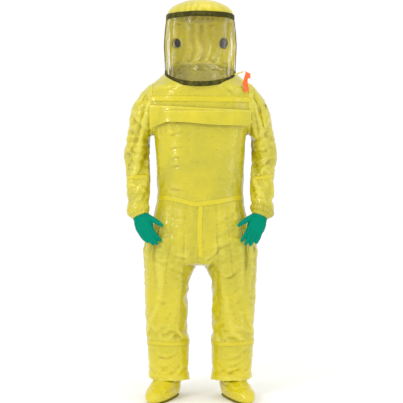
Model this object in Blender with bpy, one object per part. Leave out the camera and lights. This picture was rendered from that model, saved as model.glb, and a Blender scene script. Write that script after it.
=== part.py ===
"""Fully enclosing chemical protective suit, standing as it is worn, in metres with +Z up.

The front faces -Y and the wearer's left is +X. Each cut piece of coated fabric is a thin closed
shell between real seams, so the suit is hollow. The fabric is drawn 2 mm thick, which holds its shape.
"""

import math
from typing import NamedTuple

import bmesh
import bpy
from mathutils import Matrix, Vector

# fabric and seams
FABRIC = 0.002
SEAM_GAP = 0.0012
JOINT_GAP = 0.0016
TAPE_THICKNESS = 0.001
TAPE_LIFT = 0.0008
VISOR_THICKNESS = 0.0015
BINDING_THICKNESS = 0.003
BINDING_LIFT = 0.0025

# heights, each counted from the one below it
HEM_HEIGHT = 0.100
SHIN_LENGTH = 0.400
THIGH_LENGTH = 0.155
RISE = 0.320
SIDE_LENGTH = 0.310
ARMHOLE_HEIGHT = 0.230
ZIP_ABOVE_ARMPIT = 0.100
CHEST_SEAM_ABOVE_ZIP = 0.065
NECK_ABOVE_CHEST_SEAM = 0.133
VISOR_HEIGHT = 0.268
CROWN_HEIGHT = 0.083

KNEE_Z = HEM_HEIGHT + SHIN_LENGTH
CROTCH_Z = KNEE_Z + THIGH_LENGTH
WAIST_Z = CROTCH_Z + RISE
ARMPIT_Z = WAIST_Z + SIDE_LENGTH
SHOULDER_Z = ARMPIT_Z + ARMHOLE_HEIGHT
ZIP_Z = ARMPIT_Z + ZIP_ABOVE_ARMPIT
CHEST_SEAM_Z = ZIP_Z + CHEST_SEAM_ABOVE_ZIP
NECK_Z = CHEST_SEAM_Z + NECK_ABOVE_CHEST_SEAM
VISOR_TOP_Z = NECK_Z + VISOR_HEIGHT

# half widths and half depths
CHEST_WIDTH = 0.2395
CHEST_DEPTH = 0.135
CHEST_POWER = 3.4
WAIST_WIDTH = 0.208
WAIST_DEPTH = 0.130
HIP_WIDTH = 0.283
HIP_DEPTH = 0.157
BODY_POWER = 2.6
KNEE_WIDTH = 0.106
KNEE_DEPTH = 0.104
ANKLE_WIDTH = 0.0965
LEG_SPREAD_KNEE = 0.166
LEG_SPREAD_ANKLE = 0.154
LEG_POWER = 2.2
NECK_WIDTH = 0.168
NECK_DEPTH = 0.163
HOOD_WIDTH = 0.1735
HOOD_DEPTH = 0.166
HOOD_TOP_WIDTH = 0.162
HOOD_TOP_DEPTH = 0.159
HOOD_POWER = 2.0
NECK_TILT = 0.385
CROWN_TILT = 0.0

# arms: the sleeve hangs outside this plane, so it can swing past the body
ARMHOLE_X = CHEST_WIDTH + 0.004
ARMHOLE_DEPTH = 0.095
UPPER_ARM_LENGTH = 0.213
FOREARM_LENGTH = 0.268
ELBOW_INNER_X = ARMHOLE_X + 0.0065
ELBOW_OUTER_X = ELBOW_INNER_X + 0.132
ELBOW_DEPTH = 0.066
ELBOW_Y = 0.035
WRIST_X = ARMHOLE_X + 0.0535
WRIST_Y = -0.100
CUFF_LENGTH = 0.030
CUFF_OVERRUN = 0.005
SLEEVE_END_WIDTH = 0.055
SLEEVE_END_DEPTH = 0.050
ELBOW_NOTCH = math.tan(math.radians(47))
KNEE_NOTCH = math.tan(math.radians(40))

SHOULDER_AXIS_Z = ARMPIT_Z + ARMHOLE_HEIGHT / 2
ELBOW_Z = SHOULDER_AXIS_Z - UPPER_ARM_LENGTH
WRIST_Z = ELBOW_Z - FOREARM_LENGTH

# hand
PALM_LENGTH = 0.108
GLOVE_WALL = 0.002
GLOVE_WRIST_WIDTH = 0.036
GLOVE_WRIST_DEPTH = 0.031
PALM_WIDTH = 0.043
FINGER_RADIUS = 0.0098
FINGER_LENGTHS = (0.064, 0.082, 0.090, 0.080)
THUMB_RADIUS = 0.0115
THUMB_LENGTH = 0.082
THUMB_ROOT = 0.052
HAND_DIRECTION = Vector((-0.070, -0.075, -0.175)).normalized()
CUFF_CLEARANCE = 0.0015

# feet
TOE_OUT = math.radians(22)
TOE_REACH = 0.222
HEEL_REACH = 0.080
FOOT_WIDTH = 0.055
HEEL_Y = 0.008
SOLE_THICKNESS = 0.003
SOLE_GAP = 0.0006

# zip and storm flap
ZIP_RADIUS = 1.000
ZIP_STANDOFF = 0.0045
ZIP_HALF_LENGTH = 0.200
ZIP_SLIT = 0.012
ZIP_TAPE_WIDTH = 0.014
ZIP_TEETH_WIDTH = 0.005
ZIP_GAP = 0.0005
SLIDER_REST_X = 0.170
SLIDER_SIZE = (0.012, 0.0065, 0.012)
PULL_LENGTH = 0.034
PULL_WIDTH = 0.008
PULL_THICKNESS = 0.0016
FLAP_HALF_WIDTH = CHEST_WIDTH - 0.0035
FLAP_DROP = 0.092
FLAP_STANDOFF = 0.022
FLAP_TOP_STANDOFF = 0.008
CHEST_TAPE_HEIGHT = 0.030
WAIST_TAPE_HEIGHT = 0.024
CENTRE_TAPE_HALF_WIDTH = 0.0125
LIMB_TAPE_HEIGHT = 0.022
HEM_BAND_HEIGHT = 0.024
SHIN_TAPE_Z = HEM_HEIGHT + 0.175
FOREARM_TAPE_DROP = 0.107
BINDING_HEIGHT = 0.025

# escape strip
STRIP_TOP = Vector((NECK_WIDTH + 0.032, -0.088, NECK_Z - 0.005))
STRIP_LENGTH = 0.098
STRIP_HALF_WIDTH = 0.012
STRIP_THICKNESS = 0.0016
STRIP_LEAN = 0.028
STRIP_TURNS = 0.75
ANCHOR_LENGTH = 0.038
ANCHOR_HALF_HEIGHT = 0.004
ANCHOR_THICKNESS = 0.003

# exhaust valve, each distance counted outwards from the hood's wall
VALVE_ANGLE = math.radians(45)
VALVE_Z = NECK_Z + 0.590 * VISOR_HEIGHT
VALVE_BORE = 0.013
VALVE_BARREL = 0.017
VALVE_FLANGE = 0.025
VALVE_HOLE_CLEARANCE = 0.0005
VALVE_INNER_FACE = -0.0105
VALVE_FLANGE_FACE = -0.007
VALVE_SEAT = 0.004
MEMBRANE_THICKNESS = 0.0012
MEMBRANE_GAP = 0.0005
CAP_RADIUS = 0.027
CAP_HEIGHT = 0.0125
CAP_ROOF = 0.002
CAP_VENT = 0.008
CAP_STANDOFF = 0.001

# air inlet, on the middle of the back
INLET_Z = WAIST_Z + 0.085
INLET_BORE = 0.008
INLET_RADIUS = 0.011
INLET_REACH = 0.034
INLET_DEPTH = 0.012
INLET_CLEARANCE = 0.0004
INLET_FLANGE_RADIUS = 0.024
INLET_FLANGE_THICKNESS = 0.003
INLET_NUT_RADIUS = 0.019
INLET_NUT_THICKNESS = 0.005
INLET_BEAD = 0.0022

# the suit stands this far back, so that its box is centred on the origin
STANCE_Y = 0.0159

HALF_COLUMNS = 12
ARM_COLUMNS = 16
LATHE_COLUMNS = 20

COLOURS = {
    "fabric": ((0.75, 0.66, 0.08), 0.40),
    "tape": ((0.80, 0.68, 0.03), 0.32),
    "visor": ((0.86, 0.88, 0.86), 0.05),
    "binding": ((0.045, 0.045, 0.020), 0.55),
    "glove": ((0.003, 0.30, 0.20), 0.40),
    "orange": ((0.90, 0.22, 0.03), 0.45),
    "black": ((0.03, 0.03, 0.035), 0.35),
    "grey": ((0.20, 0.20, 0.20), 0.45),
    "membrane": ((0.60, 0.58, 0.50), 0.60),
    "zip": ((0.35, 0.30, 0.05), 0.50),
    "sole": ((0.72, 0.63, 0.07), 0.60),
}


class Station(NamedTuple):
    """One level cross-section: an oval whose power runs from 2, an ellipse, towards a box."""

    z: float
    half_width: float
    half_depth: float
    power: float = BODY_POWER
    x: float = 0.0
    y: float = 0.0
    tilt: float = 0.0


def clear_scene():
    for obj in list(bpy.data.objects):
        bpy.data.objects.remove(obj, do_unlink=True)


def material(name):
    found = bpy.data.materials.get(name)
    if found:
        return found
    made = bpy.data.materials.new(name)
    made.use_nodes = True
    colour, roughness = COLOURS[name]
    shader = made.node_tree.nodes["Principled BSDF"]
    shader.inputs["Base Color"].default_value = (*colour, 1.0)
    shader.inputs["Roughness"].default_value = roughness
    if name == "visor":
        shader.inputs["Alpha"].default_value = 0.35
    return made


def add_object(name, mesh, finish):
    obj = bpy.data.objects.new(name, mesh)
    bpy.context.scene.collection.objects.link(obj)
    mesh.materials.append(material(finish))
    mesh.shade_smooth()
    mesh.set_sharp_from_angle(angle=math.radians(35))
    obj.location.y = STANCE_Y
    return obj


def mirrored(point):
    return Vector((-point[0], point[1], point[2]))


def angles(start, end, count):
    """count steps from start to end, both in degrees."""
    return [math.radians(start + (end - start) * i / count) for i in range(count + 1)]


def ring(station, start=-180, end=0, count=HALF_COLUMNS):
    """Points round a station. -90 degrees is the front, 0 is the wearer's left side."""
    points = []
    for angle in angles(start, end, count):
        c, s = math.cos(angle), math.sin(angle)
        along = math.copysign(abs(c) ** (2 / station.power), c) * station.half_width
        across = math.copysign(abs(s) ** (2 / station.power), s) * station.half_depth
        points.append(Vector((station.x + along, station.y + across, station.z + station.tilt * across)))
    return points


def full_ring(station, count=2 * HALF_COLUMNS):
    return ring(station, -180, 180, count)[:-1]


def front(stations):
    return [ring(s) for s in stations]


def back(stations):
    return [ring(s, 0, 180) for s in stations]


def moved_towards(point, target, distance):
    return point + (target - point).normalized() * distance


def normals(rows, wrap):
    """Outward directions of a grid whose columns run anticlockwise and whose rows run upwards."""
    result = []
    last = len(rows) - 1
    for r, row in enumerate(rows):
        found = []
        end = len(row) - 1
        for c in range(len(row)):
            left = row[c - 1] if c or wrap else row[0]
            right = row[(c + 1) % len(row)] if c < end or wrap else row[end]
            rise = rows[min(r + 1, last)][c] - rows[max(r - 1, 0)][c]
            found.append((right - left).cross(rise).normalized())
        result.append(found)
    return result


def offset(rows, distance, wrap=False):
    directions = normals(rows, wrap)
    return [[p + n * distance for p, n in zip(row, ns)] for row, ns in zip(rows, directions)]


def trimmed(rows, wrap, keep_top, gap=SEAM_GAP / 2):
    """Pulls the open edges of a grid in by half a seam gap."""
    rows = [list(row) for row in rows]
    first, second = rows[0], rows[1]
    rows[0] = [moved_towards(p, q, gap) for p, q in zip(first, second)]
    if not keep_top:
        rows[-1] = [moved_towards(p, q, gap) for p, q in zip(rows[-1], rows[-2])]
    if not wrap:
        for row in rows:
            row[0] = moved_towards(row[0], row[1], gap)
            row[-1] = moved_towards(row[-1], row[-2], gap)
    return rows


def shell(name, rows, finish, thickness=FABRIC, wrap=False, close_top=False, close_bottom=False, mirror=False):
    """Closed thin shell whose outer skin is the grid of points; the inner skin lies inside it."""
    rows = trimmed(rows, wrap, close_top)
    inner = offset(rows, -thickness, wrap)
    grids = [rows, inner]
    mesh_data = bmesh.new()
    skins = []
    for grid in grids:
        skins.append([[mesh_data.verts.new(mirrored(p) if mirror else p) for p in row] for row in grid])
    count = len(rows[0])
    steps = count if wrap else count - 1
    for skin in skins:
        for lower, upper in zip(skin, skin[1:]):
            for c in range(steps):
                d = (c + 1) % count
                mesh_data.faces.new((lower[c], lower[d], upper[d], upper[c]))
    for at, closed in ((0, close_bottom), (-1, close_top)):
        if closed:
            mesh_data.faces.new(skins[0][at])
            mesh_data.faces.new(skins[1][at])
            continue
        for c in range(steps):
            d = (c + 1) % count
            mesh_data.faces.new((skins[0][at][c], skins[0][at][d], skins[1][at][d], skins[1][at][c]))
    if not wrap:
        for at in (0, -1):
            for r in range(len(rows) - 1):
                mesh_data.faces.new((skins[0][r][at], skins[0][r + 1][at], skins[1][r + 1][at], skins[1][r][at]))
    return finished(name, mesh_data, finish)


def finished(name, mesh_data, finish):
    bmesh.ops.recalc_face_normals(mesh_data, faces=mesh_data.faces)
    mesh = bpy.data.meshes.new(name)
    mesh_data.to_mesh(mesh)
    mesh_data.free()
    return add_object(name, mesh, finish)


def stack(name, rings, finish, mirror=False):
    """Closed solid through a list of rings with the same number of points."""
    mesh_data = bmesh.new()
    loops = [[mesh_data.verts.new(mirrored(p) if mirror else p) for p in loop] for loop in rings]
    count = len(loops[0])
    for lower, upper in zip(loops, loops[1:]):
        for c in range(count):
            d = (c + 1) % count
            mesh_data.faces.new((lower[c], lower[d], upper[d], upper[c]))
    mesh_data.faces.new(loops[0])
    mesh_data.faces.new(loops[-1])
    return finished(name, mesh_data, finish)


def lathe(name, profile, place, finish):
    """Turns a closed profile of (radius, distance) points about the axis of place."""
    mesh_data = bmesh.new()
    loops = []
    for radius, along in profile:
        if radius == 0:
            loops.append([mesh_data.verts.new(place @ Vector((0, 0, along)))])
            continue
        turned = []
        for i in range(LATHE_COLUMNS):
            angle = 2 * math.pi * i / LATHE_COLUMNS
            turned.append(
                mesh_data.verts.new(place @ Vector((radius * math.cos(angle), radius * math.sin(angle), along)))
            )
        loops.append(turned)
    for first, second in zip(loops, loops[1:] + loops[:1]):
        for c in range(LATHE_COLUMNS):
            d = (c + 1) % LATHE_COLUMNS
            corners = [first[c % len(first)], first[d % len(first)], second[d % len(second)], second[c % len(second)]]
            corners = list(dict.fromkeys(corners))
            if len(corners) > 2:
                mesh_data.faces.new(corners)
    return finished(name, mesh_data, finish)


def boolean(obj, cutter, operation):
    cutter.hide_render = True
    cutter.display_type = "WIRE"
    modifier = obj.modifiers.new(cutter.name, "BOOLEAN")
    modifier.operation = operation
    modifier.solver = "EXACT"
    modifier.object = cutter


def band(
    name, below, seam, above, height, finish, wrap=False, thickness=TAPE_THICKNESS, lift=TAPE_LIFT, mirror=False
):
    """Tape of the given height that lies outside a seam and follows the panels on both sides of it."""
    low = [moved_towards(p, q, height / 2) for p, q in zip(seam, below)]
    high = [moved_towards(p, q, height / 2) for p, q in zip(seam, above)]
    rows = offset([low, seam, high], lift + thickness, wrap)
    return shell(name, rows, finish, thickness, wrap, mirror=mirror)


# stations of the body, from the crotch up to the crown


def torso_stations():
    return [
        Station(WAIST_Z, WAIST_WIDTH, WAIST_DEPTH),
        Station(WAIST_Z + 0.27 * SIDE_LENGTH, WAIST_WIDTH + 0.005, WAIST_DEPTH + 0.002),
        Station(WAIST_Z + 0.60 * SIDE_LENGTH, WAIST_WIDTH + 0.011, WAIST_DEPTH + 0.003, 2.8),
        Station(ARMPIT_Z - 0.030, CHEST_WIDTH - 0.019, CHEST_DEPTH, 3.0),
        Station(ARMPIT_Z + 0.040, CHEST_WIDTH - 0.003, CHEST_DEPTH, CHEST_POWER),
    ]


def chest_station(z):
    return Station(z, CHEST_WIDTH, CHEST_DEPTH, CHEST_POWER)


def neck_station():
    return Station(NECK_Z, NECK_WIDTH, NECK_DEPTH, HOOD_POWER, tilt=NECK_TILT)


def yoke_stations():
    rise = NECK_ABOVE_CHEST_SEAM
    return [
        chest_station(CHEST_SEAM_Z),
        Station(CHEST_SEAM_Z + 0.30 * rise, CHEST_WIDTH - 0.004, CHEST_DEPTH + 0.004, 3.0, tilt=0.05),
        Station(CHEST_SEAM_Z + 0.62 * rise, CHEST_WIDTH - 0.010, CHEST_DEPTH + 0.014, 2.5, tilt=0.16),
        neck_station()._replace(z=NECK_Z - JOINT_GAP),
    ]


def hood_stations():
    return [
        neck_station(),
        Station(NECK_Z + 0.22 * VISOR_HEIGHT, HOOD_WIDTH - 0.002, HOOD_DEPTH - 0.001, HOOD_POWER, tilt=0.16),
        Station(NECK_Z + 0.50 * VISOR_HEIGHT, HOOD_WIDTH, HOOD_DEPTH, HOOD_POWER),
        Station(NECK_Z + 0.78 * VISOR_HEIGHT, HOOD_WIDTH - 0.003, HOOD_DEPTH - 0.002, HOOD_POWER),
        Station(VISOR_TOP_Z, HOOD_TOP_WIDTH, HOOD_TOP_DEPTH, HOOD_POWER, tilt=CROWN_TILT),
    ]


def crown_stations():
    heights_and_widths = ((0.0, 1.0), (0.34, 0.965), (0.64, 0.80), (0.88, 0.50), (1.0, 0.18))
    return [
        Station(
            VISOR_TOP_Z + CROWN_HEIGHT * up,
            HOOD_TOP_WIDTH * wide,
            HOOD_TOP_DEPTH * wide,
            HOOD_POWER,
            tilt=CROWN_TILT * (1 - up),
        )
        for up, wide in heights_and_widths
    ]


def rise_stations():
    """Waist down to the hip, for both legs together."""
    return [
        Station(WAIST_Z, WAIST_WIDTH, WAIST_DEPTH),
        Station(WAIST_Z - 0.24 * RISE, WAIST_WIDTH + 0.36 * (HIP_WIDTH - WAIST_WIDTH), WAIST_DEPTH + 0.010),
        Station(WAIST_Z - 0.49 * RISE, WAIST_WIDTH + 0.72 * (HIP_WIDTH - WAIST_WIDTH), WAIST_DEPTH + 0.019, 2.8),
        Station(WAIST_Z - 0.73 * RISE, HIP_WIDTH - 0.004, HIP_DEPTH, 3.0),
        Station(WAIST_Z - 0.87 * RISE, HIP_WIDTH, HIP_DEPTH, 3.2),
    ]


def thigh_stations():
    """Crotch down to the knee, round one leg."""
    inner = 0.010
    top_width = (HIP_WIDTH - inner) / 2
    top_x = inner + top_width
    middle_x = (top_x + LEG_SPREAD_KNEE) / 2
    return [
        Station(CROTCH_Z, top_width, HIP_DEPTH - 0.012, 2.6, x=top_x),
        Station(KNEE_Z + 0.70 * THIGH_LENGTH, (top_width + KNEE_WIDTH) / 2, HIP_DEPTH - 0.030, 2.4, x=middle_x),
        Station(KNEE_Z + JOINT_GAP, KNEE_WIDTH, KNEE_DEPTH, LEG_POWER, x=LEG_SPREAD_KNEE),
    ]


def shin_stations():
    """Hem up to the knee, round one leg."""

    def at(z, extra=0.0):
        share = (z - HEM_HEIGHT) / SHIN_LENGTH
        return Station(
            z,
            ANKLE_WIDTH + (KNEE_WIDTH - ANKLE_WIDTH) * share + extra,
            ANKLE_WIDTH + (KNEE_DEPTH - ANKLE_WIDTH) * share + extra,
            LEG_POWER,
            x=LEG_SPREAD_ANKLE + (LEG_SPREAD_KNEE - LEG_SPREAD_ANKLE) * share,
        )

    return [
        at(HEM_HEIGHT),
        at(HEM_HEIGHT + HEM_BAND_HEIGHT / 2 + 0.003),
        at(HEM_HEIGHT + 0.22 * SHIN_LENGTH),
        at(SHIN_TAPE_Z),
        at(KNEE_Z - 1.1 * KNEE_NOTCH * KNEE_DEPTH - 0.010),
        at(KNEE_Z - JOINT_GAP),
    ]


def notched(points, hinge_y, side, slope):
    """Lifts, or with a negative slope lowers, the points on one side of a hinge, in a wedge."""
    return [p + Vector((0, 0, slope * max(0.0, side * (p.y - hinge_y)))) for p in points]


# the body's pieces


def make_torso():
    below_zip = torso_stations() + [chest_station(ZIP_Z - ZIP_SLIT / 2)]
    whole = torso_stations() + [chest_station(ZIP_Z), chest_station(CHEST_SEAM_Z)]
    shell("torso_front", front(below_zip), "fabric")
    shell("chest_front", front([chest_station(ZIP_Z + ZIP_SLIT / 2), chest_station(CHEST_SEAM_Z)]), "fabric")
    torso_back = shell("torso_back", back(whole), "fabric")
    shell("yoke_front", front(yoke_stations()), "fabric")
    shell("yoke_back", back(yoke_stations()), "fabric")
    return torso_back


def make_body_tapes():
    seam, above = ring(yoke_stations()[0])[1:-1], ring(yoke_stations()[1])[1:-1]
    below = ring(chest_station(ZIP_Z))[1:-1]
    band("chest_seam_tape", below, seam, above, CHEST_TAPE_HEIGHT, "tape")
    columns = 4 * HALF_COLUMNS
    waist = [full_ring(s, columns) for s in (rise_stations()[1], rise_stations()[0], torso_stations()[1])]
    band("waist_tape", *waist, WAIST_TAPE_HEIGHT, "tape", wrap=True)
    make_centre_tape()


def y_on_ring(points, x):
    """Depth of a front ring where it passes x, between two of its points."""
    for p, q in zip(points, points[1:]):
        if p.x <= x <= q.x:
            return p.y + (q.y - p.y) * (x - p.x) / (q.x - p.x)
    raise ValueError(x)


def make_centre_tape():
    top = WAIST_Z - WAIST_TAPE_HEIGHT / 2 - SEAM_GAP
    stations = rise_stations()
    share = (WAIST_Z - top) / (stations[0].z - stations[1].z)
    rows = []
    for station in reversed(stations[1:]):
        points = ring(station)
        rows.append([Vector((x, y_on_ring(points, x), station.z)) for x in centre_tape_columns()])
    upper, lower = ring(stations[0]), ring(stations[1])
    cut = [p.lerp(q, share) for p, q in zip(upper, lower)]
    rows.append([Vector((x, y_on_ring(cut, x), top)) for x in centre_tape_columns()])
    shell("centre_front_tape", offset(rows, TAPE_LIFT + TAPE_THICKNESS), "tape", TAPE_THICKNESS)


def centre_tape_columns():
    return (-CENTRE_TAPE_HALF_WIDTH, 0.0, CENTRE_TAPE_HALF_WIDTH)


def make_trousers():
    """One front and one back piece for each leg, from the waist to the knee."""
    half = HALF_COLUMNS
    for side, mirror in (("left", False), ("right", True)):
        for face, quarter, leg in (("front", (-90, 0), (-180, 0)), ("back", (0, 90), (0, 180))):
            rows = [ring(s, *leg, half) for s in reversed(thigh_stations())]
            rows[0] = notched(rows[0], 0.0, 1, KNEE_NOTCH)
            rows += [ring(s, *quarter, half) for s in reversed(rise_stations())]
            shell(f"trouser_{face}_{side}", rows, "fabric", mirror=mirror)


def make_shins():
    stations = shin_stations()
    for side, mirror in (("left", False), ("right", True)):
        for face, arc in (("front", (-180, 0)), ("back", (0, 180))):
            rows = [ring(s, *arc) for s in stations]
            rows[-1] = notched(rows[-1], 0.0, 1, -KNEE_NOTCH)
            shell(f"shin_{face}_{side}", rows, "fabric", mirror=mirror)
        tape = [full_ring(s) for s in stations[2:5]]
        band(f"shin_tape_{side}", *tape, LIMB_TAPE_HEIGHT, "tape", wrap=True, mirror=mirror)
        hem = [full_ring(s) for s in stations[0:3]]
        band(f"boot_flap_hem_{side}", *hem, HEM_BAND_HEIGHT, "fabric", wrap=True, mirror=mirror)


def foot_ring(z, forward, backward, half_width, grow=0.0):
    """Oval outline of the foot at one height, turned out at the toes."""
    middle = (forward - backward) / 2
    outline = Station(z, half_width + grow, (forward + backward) / 2 + grow, 2.3, y=-middle)
    turn = Matrix.Rotation(TOE_OUT, 4, "Z")
    ankle = Vector((LEG_SPREAD_ANKLE - 0.004, HEEL_Y, 0))
    return [turn @ p + ankle for p in full_ring(outline, ARM_COLUMNS)]


def make_feet():
    bottom = SOLE_THICKNESS + SOLE_GAP
    for side, mirror in (("left", False), ("right", True)):
        rows = [
            foot_ring(bottom, TOE_REACH - 0.010, HEEL_REACH - 0.006, FOOT_WIDTH - 0.007),
            foot_ring(0.028, TOE_REACH, HEEL_REACH, FOOT_WIDTH),
            foot_ring(0.056, TOE_REACH - 0.022, HEEL_REACH, FOOT_WIDTH - 0.003),
            foot_ring(0.084, TOE_REACH - 0.105, HEEL_REACH - 0.006, FOOT_WIDTH - 0.008),
            foot_ring(HEM_HEIGHT + 0.022, 0.072, HEEL_REACH - 0.012, FOOT_WIDTH - 0.009),
            foot_ring(HEM_HEIGHT + 0.065, 0.060, HEEL_REACH - 0.020, FOOT_WIDTH - 0.005),
        ]
        shell(f"bootie_{side}", rows, "fabric", wrap=True, close_bottom=True, mirror=mirror)
        outline = (TOE_REACH - 0.012, HEEL_REACH - 0.008, FOOT_WIDTH - 0.009)
        stack(f"sole_{side}", [foot_ring(0.0, *outline), foot_ring(SOLE_THICKNESS, *outline)], "sole", mirror)


# hood


def make_hood():
    stations = hood_stations()
    crown = [full_ring(s) for s in crown_stations()]
    shell("hood_crown", crown, "fabric", wrap=True, close_top=True)
    shell("visor", front(stations), "visor", VISOR_THICKNESS)
    hood_back = shell("hood_back", back(stations), "fabric")
    top = [ring(s) for s in (stations[-2], stations[-1], crown_stations()[1])]
    band("visor_top_binding", *top, BINDING_HEIGHT, "binding", thickness=BINDING_THICKNESS)
    bottom = [ring(s) for s in (yoke_stations()[-2], stations[0], stations[1])]
    band(
        "visor_bottom_binding", *bottom, BINDING_HEIGHT, "binding", thickness=BINDING_THICKNESS, lift=BINDING_LIFT
    )
    return hood_back


def valve_place(sign):
    """Frame whose +Z points out of the hood, at the wall, on the given side."""
    x = HOOD_WIDTH * math.cos(VALVE_ANGLE)
    y = HOOD_DEPTH * math.sin(VALVE_ANGLE)
    outward = Vector((x / HOOD_WIDTH**2, y / HOOD_DEPTH**2, 0)).normalized()
    across = Vector((0, 0, 1)).cross(outward)
    place = Matrix((across, Vector((0, 0, 1)), outward)).transposed().to_4x4()
    place.translation = Vector((x, y, VALVE_Z))
    return place if sign > 0 else Matrix.Diagonal((-1, 1, 1, 1)) @ place


def make_exhaust_valves(hood_back):
    membrane_base = VALVE_SEAT + MEMBRANE_GAP
    body = (
        (VALVE_BORE, VALVE_INNER_FACE),
        (VALVE_FLANGE, VALVE_INNER_FACE),
        (VALVE_FLANGE, VALVE_FLANGE_FACE),
        (VALVE_BARREL, VALVE_FLANGE_FACE),
        (VALVE_BARREL, VALVE_SEAT),
        (VALVE_BORE, VALVE_SEAT),
    )
    disc = (
        (0, membrane_base),
        (VALVE_BARREL - 0.0005, membrane_base),
        (VALVE_BARREL - 0.0005, membrane_base + MEMBRANE_THICKNESS),
        (0, membrane_base + MEMBRANE_THICKNESS),
    )
    cap = (
        (VALVE_BARREL + 0.001, CAP_STANDOFF),
        (CAP_RADIUS, CAP_STANDOFF),
        (CAP_RADIUS - 0.002, CAP_HEIGHT),
        (CAP_VENT, CAP_HEIGHT),
        (CAP_VENT, CAP_HEIGHT - CAP_ROOF),
        (VALVE_BARREL + 0.001, CAP_HEIGHT - CAP_ROOF),
    )
    hole_radius = VALVE_BARREL + VALVE_HOLE_CLEARANCE
    hole = ((0, -0.02), (hole_radius, -0.02), (hole_radius, 0.02), (0, 0.02))
    for side, sign in (("left", 1), ("right", -1)):
        place = valve_place(sign)
        lathe(f"exhaust_valve_body_{side}", body, place, "black")
        lathe(f"exhaust_valve_membrane_{side}", disc, place, "membrane")
        lathe(f"exhaust_valve_cap_{side}", cap, place, "grey")
        boolean(hood_back, lathe(f"valve_hole_{side}", hole, place, "black"), "DIFFERENCE")


def make_air_inlet(torso_back):
    """Hose nipple clamped through the middle of the back, between a flange and an inner nut."""
    place = Matrix.Translation((0, WAIST_DEPTH + 0.002, INLET_Z)) @ Matrix.Rotation(-math.pi / 2, 4, "X")
    outside = CAP_STANDOFF
    inside = -FABRIC - CAP_STANDOFF
    ring_bore = INLET_RADIUS + INLET_CLEARANCE
    nipple = [(INLET_BORE, -INLET_DEPTH), (INLET_RADIUS, -INLET_DEPTH)]
    for share in (0.50, 0.80):
        nipple += [
            (INLET_RADIUS, INLET_REACH * share - INLET_BEAD),
            (INLET_RADIUS + INLET_BEAD / 2, INLET_REACH * share),
            (INLET_RADIUS, INLET_REACH * share + INLET_BEAD),
        ]
    nipple += [(INLET_RADIUS, INLET_REACH), (INLET_BORE, INLET_REACH)]
    lathe("air_inlet_nipple", nipple, place, "black")
    flange = (
        (ring_bore, outside),
        (INLET_FLANGE_RADIUS, outside),
        (INLET_FLANGE_RADIUS - 0.001, outside + INLET_FLANGE_THICKNESS),
        (ring_bore, outside + INLET_FLANGE_THICKNESS),
    )
    lathe("air_inlet_flange", flange, place, "grey")
    nut = (
        (ring_bore, inside - INLET_NUT_THICKNESS),
        (INLET_NUT_RADIUS, inside - INLET_NUT_THICKNESS),
        (INLET_NUT_RADIUS, inside),
        (ring_bore, inside),
    )
    lathe("air_inlet_nut", nut, place, "black")
    hole = ((0, -0.02), (ring_bore, -0.02), (ring_bore, 0.02), (0, 0.02))
    boolean(torso_back, lathe("inlet_hole", hole, place, "black"), "DIFFERENCE")


# zip, storm flap and escape strip


def zip_place(x, radius_extra=0.0):
    """Point of the zip's arc at a distance x along it, with the direction out of the chest."""
    centre_y = ZIP_RADIUS - CHEST_DEPTH - ZIP_STANDOFF
    angle = x / ZIP_RADIUS
    outward = Vector((math.sin(angle), -math.cos(angle), 0))
    return Vector((0, centre_y, ZIP_Z)) + outward * (ZIP_RADIUS + radius_extra), outward


def zip_strip(name, low, high, back_face, thickness, finish, start=-ZIP_HALF_LENGTH, end=ZIP_HALF_LENGTH, steps=12):
    """Strip along the zip's arc between two heights above its middle."""
    rows = []
    for height in (low, high):
        xs = [start + (end - start) * i / steps for i in range(steps + 1)]
        rows.append([zip_place(x, back_face + thickness)[0] + Vector((0, 0, height)) for x in xs])
    return shell(name, rows, finish, thickness)


def make_zip():
    half_teeth = ZIP_TEETH_WIDTH / 2
    near, far = half_teeth + ZIP_GAP, half_teeth + ZIP_GAP + ZIP_TAPE_WIDTH
    zip_strip("zip_tape_upper", near, far, 0.0, 0.001, "zip")
    zip_strip("zip_tape_lower", -far, -near, 0.0, 0.001, "zip")
    zip_strip("zip_teeth", -half_teeth, half_teeth, -0.0005, 0.0025, "zip")
    front_of_teeth = 0.0025
    for side, sign in (("left", 1), ("right", -1)):
        middle = sign * (ZIP_HALF_LENGTH - 0.003)
        zip_strip(
            f"zip_stop_{side}", -half_teeth, half_teeth, front_of_teeth, 0.002, "zip", middle - 0.002, middle + 0.002, 1
        )
    length, depth, height = SLIDER_SIZE
    zip_strip(
        "zip_slider",
        -height / 2,
        height / 2,
        front_of_teeth,
        depth,
        "zip",
        SLIDER_REST_X - length / 2,
        SLIDER_REST_X + length / 2,
        2,
    )
    make_zip_pull(front_of_teeth + depth)


def make_zip_pull(front_face):
    """Tab that hangs in front of the slider and swings about an axis straight out of the chest."""
    pivot, outward = zip_place(SLIDER_REST_X, front_face + SEAM_GAP)
    across = Vector((0, 0, 1)).cross(outward)
    rows = []
    for down, half_width in ((PULL_LENGTH, 0.35), (PULL_LENGTH - 0.004, 0.5), (0.004, 0.42), (-0.002, 0.30)):
        level = pivot + outward * PULL_THICKNESS - Vector((0, 0, down))
        rows.append([level + across * (PULL_WIDTH * half_width * step) for step in (1, 0, -1)])
    rows = [list(reversed(row)) for row in rows] if across.x > 0 else rows
    shell("zip_pull", rows, "orange", PULL_THICKNESS)


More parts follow.
